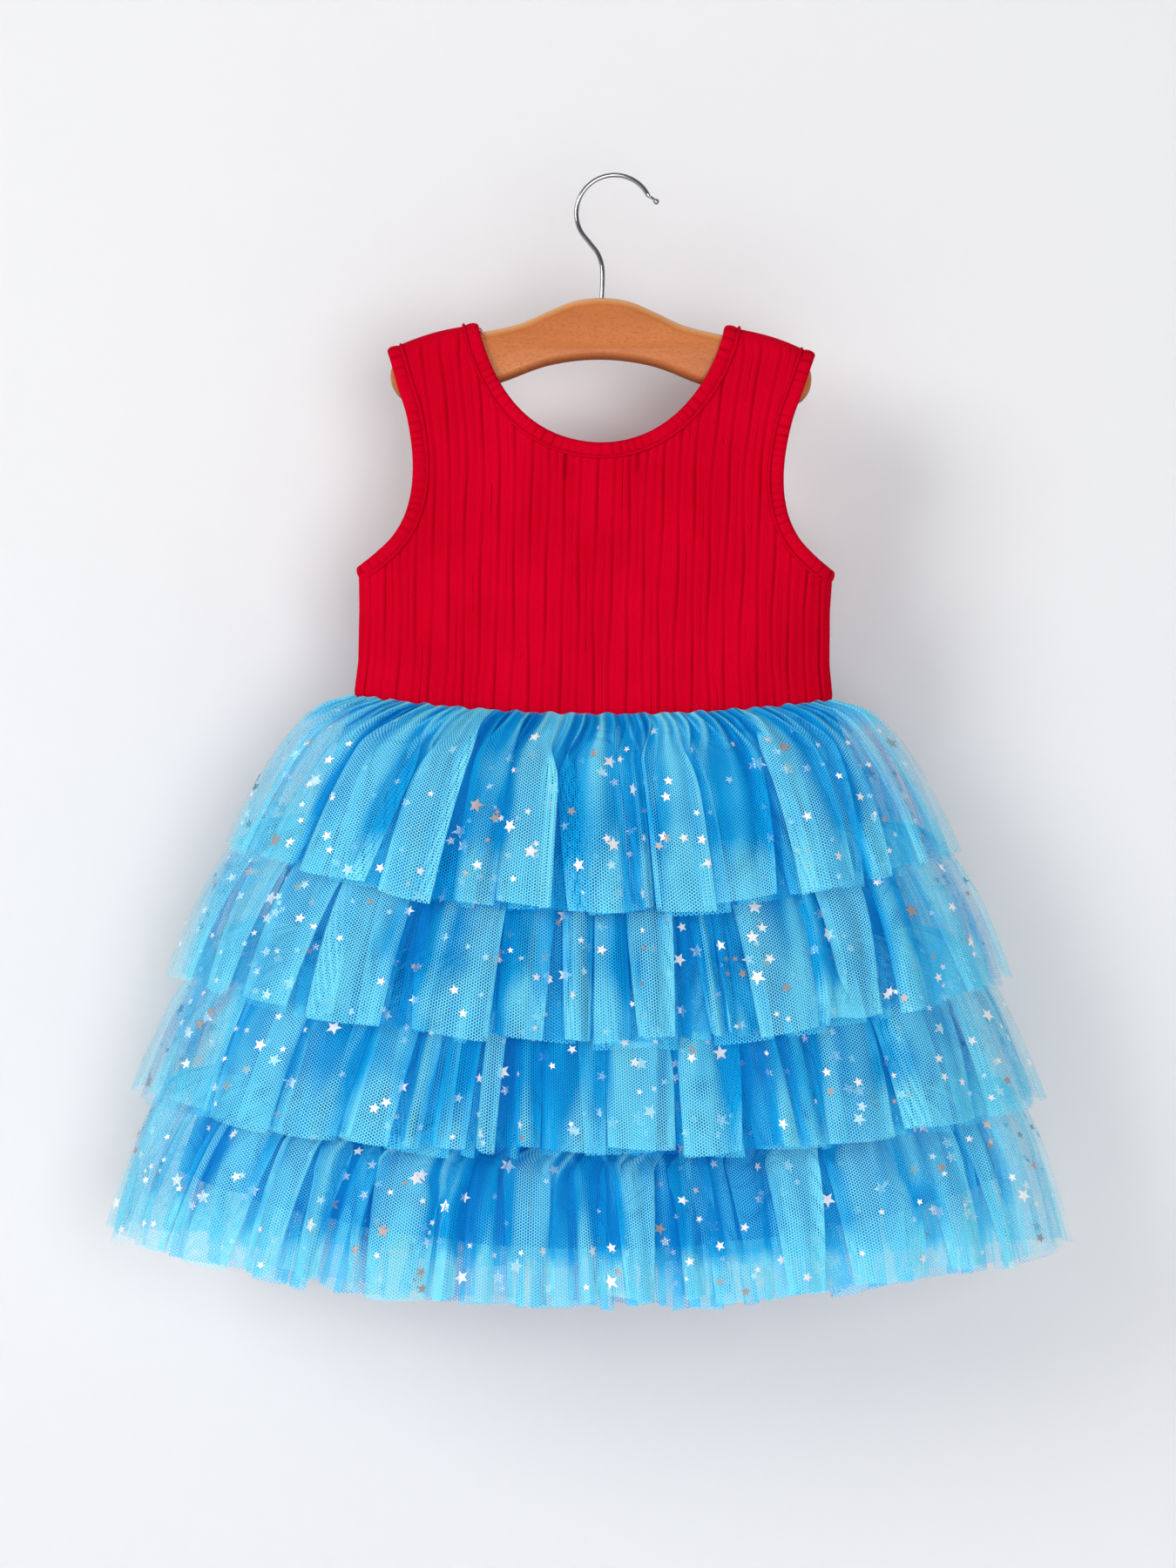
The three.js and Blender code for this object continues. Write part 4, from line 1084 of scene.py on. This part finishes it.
def build_wood():
    right = WOOD_TOP + WOOD_TIP + WOOD_BELOW
    left = [(-x, z) for x, z in right[1:-1]][::-1]
    line = spline(right + left, closed=True)
    closed = np.concatenate([line, line[:1]])
    run = lengths_along(closed)
    line = points_at(closed, run, np.linspace(0, run[-1], 420, endpoint=False))
    along = unit(np.roll(line, -1, 0) - np.roll(line, 1, 0))
    inward = np.stack([along[:, 1], -along[:, 0]], 1)
    if (inward * (line.mean(0) - line)).sum() < 0:
        inward = -inward
    rings = []
    for degrees in np.linspace(-90, 90, 15):
        a = math.radians(degrees)
        flat = line + inward * WOOD_EDGE * (1 - math.cos(a))
        y = WOOD_EDGE * math.sin(a) + (WOOD_THICK / 2 - WOOD_EDGE) * np.sign(a)
        rings.append(np.stack([flat[:, 0], np.full(len(flat), y), flat[:, 1]], 1))
    points = np.array(rings)
    count = points.shape[1]
    faces = grid_faces(len(rings), count, wrap_columns=True)
    piece = mesh_piece("wood_arch", points, faces, [WOOD], hang=False)
    made = bmesh.new()
    made.from_mesh(piece.data)
    made.verts.ensure_lookup_table()
    for first in (0, (len(rings) - 1) * count):
        made.faces.new([made.verts[first + k] for k in range(count)]).smooth = True
    bmesh.ops.recalc_face_normals(made, faces=made.faces)
    made.to_mesh(piece.data)
    made.free()
    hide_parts("hanger_wood")


def build_hook():
    turns = np.radians(np.linspace(210, 27, 13))
    arc = np.array(HOOK_CENTRE) + HOOK_RADIUS * np.stack([np.cos(turns), np.sin(turns)], 1)
    route = [(0, -89.8), (0, -71.15), (0, -52.5), (-2.5, -44.9), (-7.4, -38.5), *arc]
    end = arc[-1]
    line = resampled(spline(route, per_span=20), 0.9)
    ball = end + [4.4, -3.1]
    tip = resampled(spline([line[-1], end + [2.2, -1.2], ball], per_span=10), 0.25)[1:]
    beyond = ball + unit(tip[-1] - tip[-4]) * np.linspace(0.15, BALL_RADIUS - 0.01, 8)[:, None]
    flat = np.concatenate([line, tip, beyond])
    run = lengths_along(flat)
    neck = smooth01((run - run[len(line)] + 1.5) / 2.5)
    before_ball = run < run[len(line) + len(tip) - 1]
    in_ball = np.sqrt(np.maximum(BALL_RADIUS**2 - np.linalg.norm(flat - ball, axis=1) ** 2, 0))
    radii = np.maximum(lerp(WIRE_RADIUS, BALL_NECK_RADIUS, neck) * before_ball, in_ball)
    radii[0] = radii[-1] = 0.01
    route = np.stack([flat[:, 0], np.zeros(len(flat)), flat[:, 1]], 1)
    points, faces = tube(route, radii, 20)
    piece = mesh_piece("wire_hook", points, faces[:, ::-1], [STEEL], hang=False)
    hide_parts("hanger_hook")


# Stage, light and camera

def plane(name, corners, material):
    mesh = bpy.data.meshes.new(name)
    mesh.from_pydata(corners, [], [tuple(range(len(corners)))])
    mesh.materials.append(material)
    made = bpy.data.objects.new(name, mesh)
    bpy.context.scene.collection.objects.link(made)


WALL_Y, FLOOR_Z = 0.114, -1.3  # in metres, as all of the stage is


def build_stage():
    wall, tree, shader = new_material("wall_paint", Roughness=0.92, Specular_IOR_Level=0.1)
    cloud = noise(tree, 1.1, 3.0)
    paint(tree, shader, ramp(tree, cloud, (0.2, (0.80, 0.795, 0.795)), (0.8, (0.815, 0.81, 0.81))))
    # The wall has one side, so that the dress is also seen from the wall's side.
    clear = node(tree, "ShaderNodeBsdfTransparent").outputs[0]
    behind = node(tree, "ShaderNodeNewGeometry").outputs["Backfacing"]
    one_side = node(tree, "ShaderNodeMixShader", {0: behind, 1: shader.outputs[0], 2: clear}).outputs[0]
    tree.links.new(one_side, tree.nodes["Material Output"].inputs[0])
    corners = [(-4, WALL_Y, FLOOR_Z), (4, WALL_Y, FLOOR_Z), (4, WALL_Y, 3.5), (-4, WALL_Y, 3.5)]
    plane("backdrop_wall", corners, wall)
    corners = [(-6, -6, FLOOR_Z), (6, -6, FLOOR_Z), (6, 6, FLOOR_Z), (-6, 6, FLOOR_Z)]
    plane("floor", corners, paint_material("floor_paint", (0.80, 0.80, 0.81)))


def area_light(name, place, aim, size, power, colour=(1, 1, 1)):
    data = bpy.data.lights.new(name, "AREA")
    data.shape = "DISK"
    data.size, data.energy, data.color = size, power, colour
    lamp = bpy.data.objects.new(name, data)
    bpy.context.scene.collection.objects.link(lamp)
    lamp.location = place
    lamp.rotation_euler = (Vector(aim) - Vector(place)).to_track_quat("-Z", "Y").to_euler()


def build_lights():
    area_light("key", (-2.1, -2.5, 0.75), (0.0, 0.0, -0.38), 1.6, 50.0)
    area_light("fill", (0.6, -3.0, -0.45), (0.2, 0.0, -0.42), 1.6, 46.0, (0.96, 0.98, 1.0))
    area_light("behind", (0.5, 2.4, 0.8), (0.0, 0.0, -0.35), 2.0, 40.0)
    world = bpy.data.worlds.new("studio")
    bpy.context.scene.world = world
    world.use_nodes = True
    tree = world.node_tree
    way = node(tree, "ShaderNodeTexCoord").outputs["Generated"]
    ways = {0: way, 1: (-0.62, 0.5, 0.6)}
    lit_side = node(tree, "ShaderNodeVectorMath", ways, operation="DOT_PRODUCT").outputs["Value"]
    high = map_range(tree, lit_side, -0.75, 0.8, 0.0, 1.0)
    sky = ramp(tree, high, (0.0, (0.22, 0.225, 0.24)), (0.55, (0.72, 0.73, 0.76)), (1.0, (1.0, 1.0, 1.03)))
    tree.links.new(sky, tree.nodes["Background"].inputs[0])
    tree.nodes["Background"].inputs[1].default_value = 0.42


CAMERA_AT, CAMERA_ROLL = (-0.0123, -2.17, -0.3557), math.radians(0.56)


def build_camera():
    data = bpy.data.cameras.new("camera")
    data.lens, data.sensor_width = 85.0, 36.0
    data.clip_end = 50.0
    camera = bpy.data.objects.new("camera", data)
    bpy.context.scene.collection.objects.link(camera)
    look = Matrix.Rotation(math.radians(90), 4, "X") @ Matrix.Rotation(CAMERA_ROLL, 4, "Z")
    camera.matrix_world = Matrix.Translation(CAMERA_AT) @ look
    bpy.context.scene.camera = camera


build_camera()
build_stage()
build_lights()

back, front, bands, sewing = build_bodice()
label = label_stitches()
loose_threads()
build_lining()
for number, spec in enumerate(TIERS, 1):
    build_tier(number, spec)
build_wood()
build_hook()

scene = bpy.context.scene
scene.view_settings.view_transform = "Standard"
scene.cycles.transparent_max_bounces = 24
scene.cycles.denoising_prefilter = "NONE"
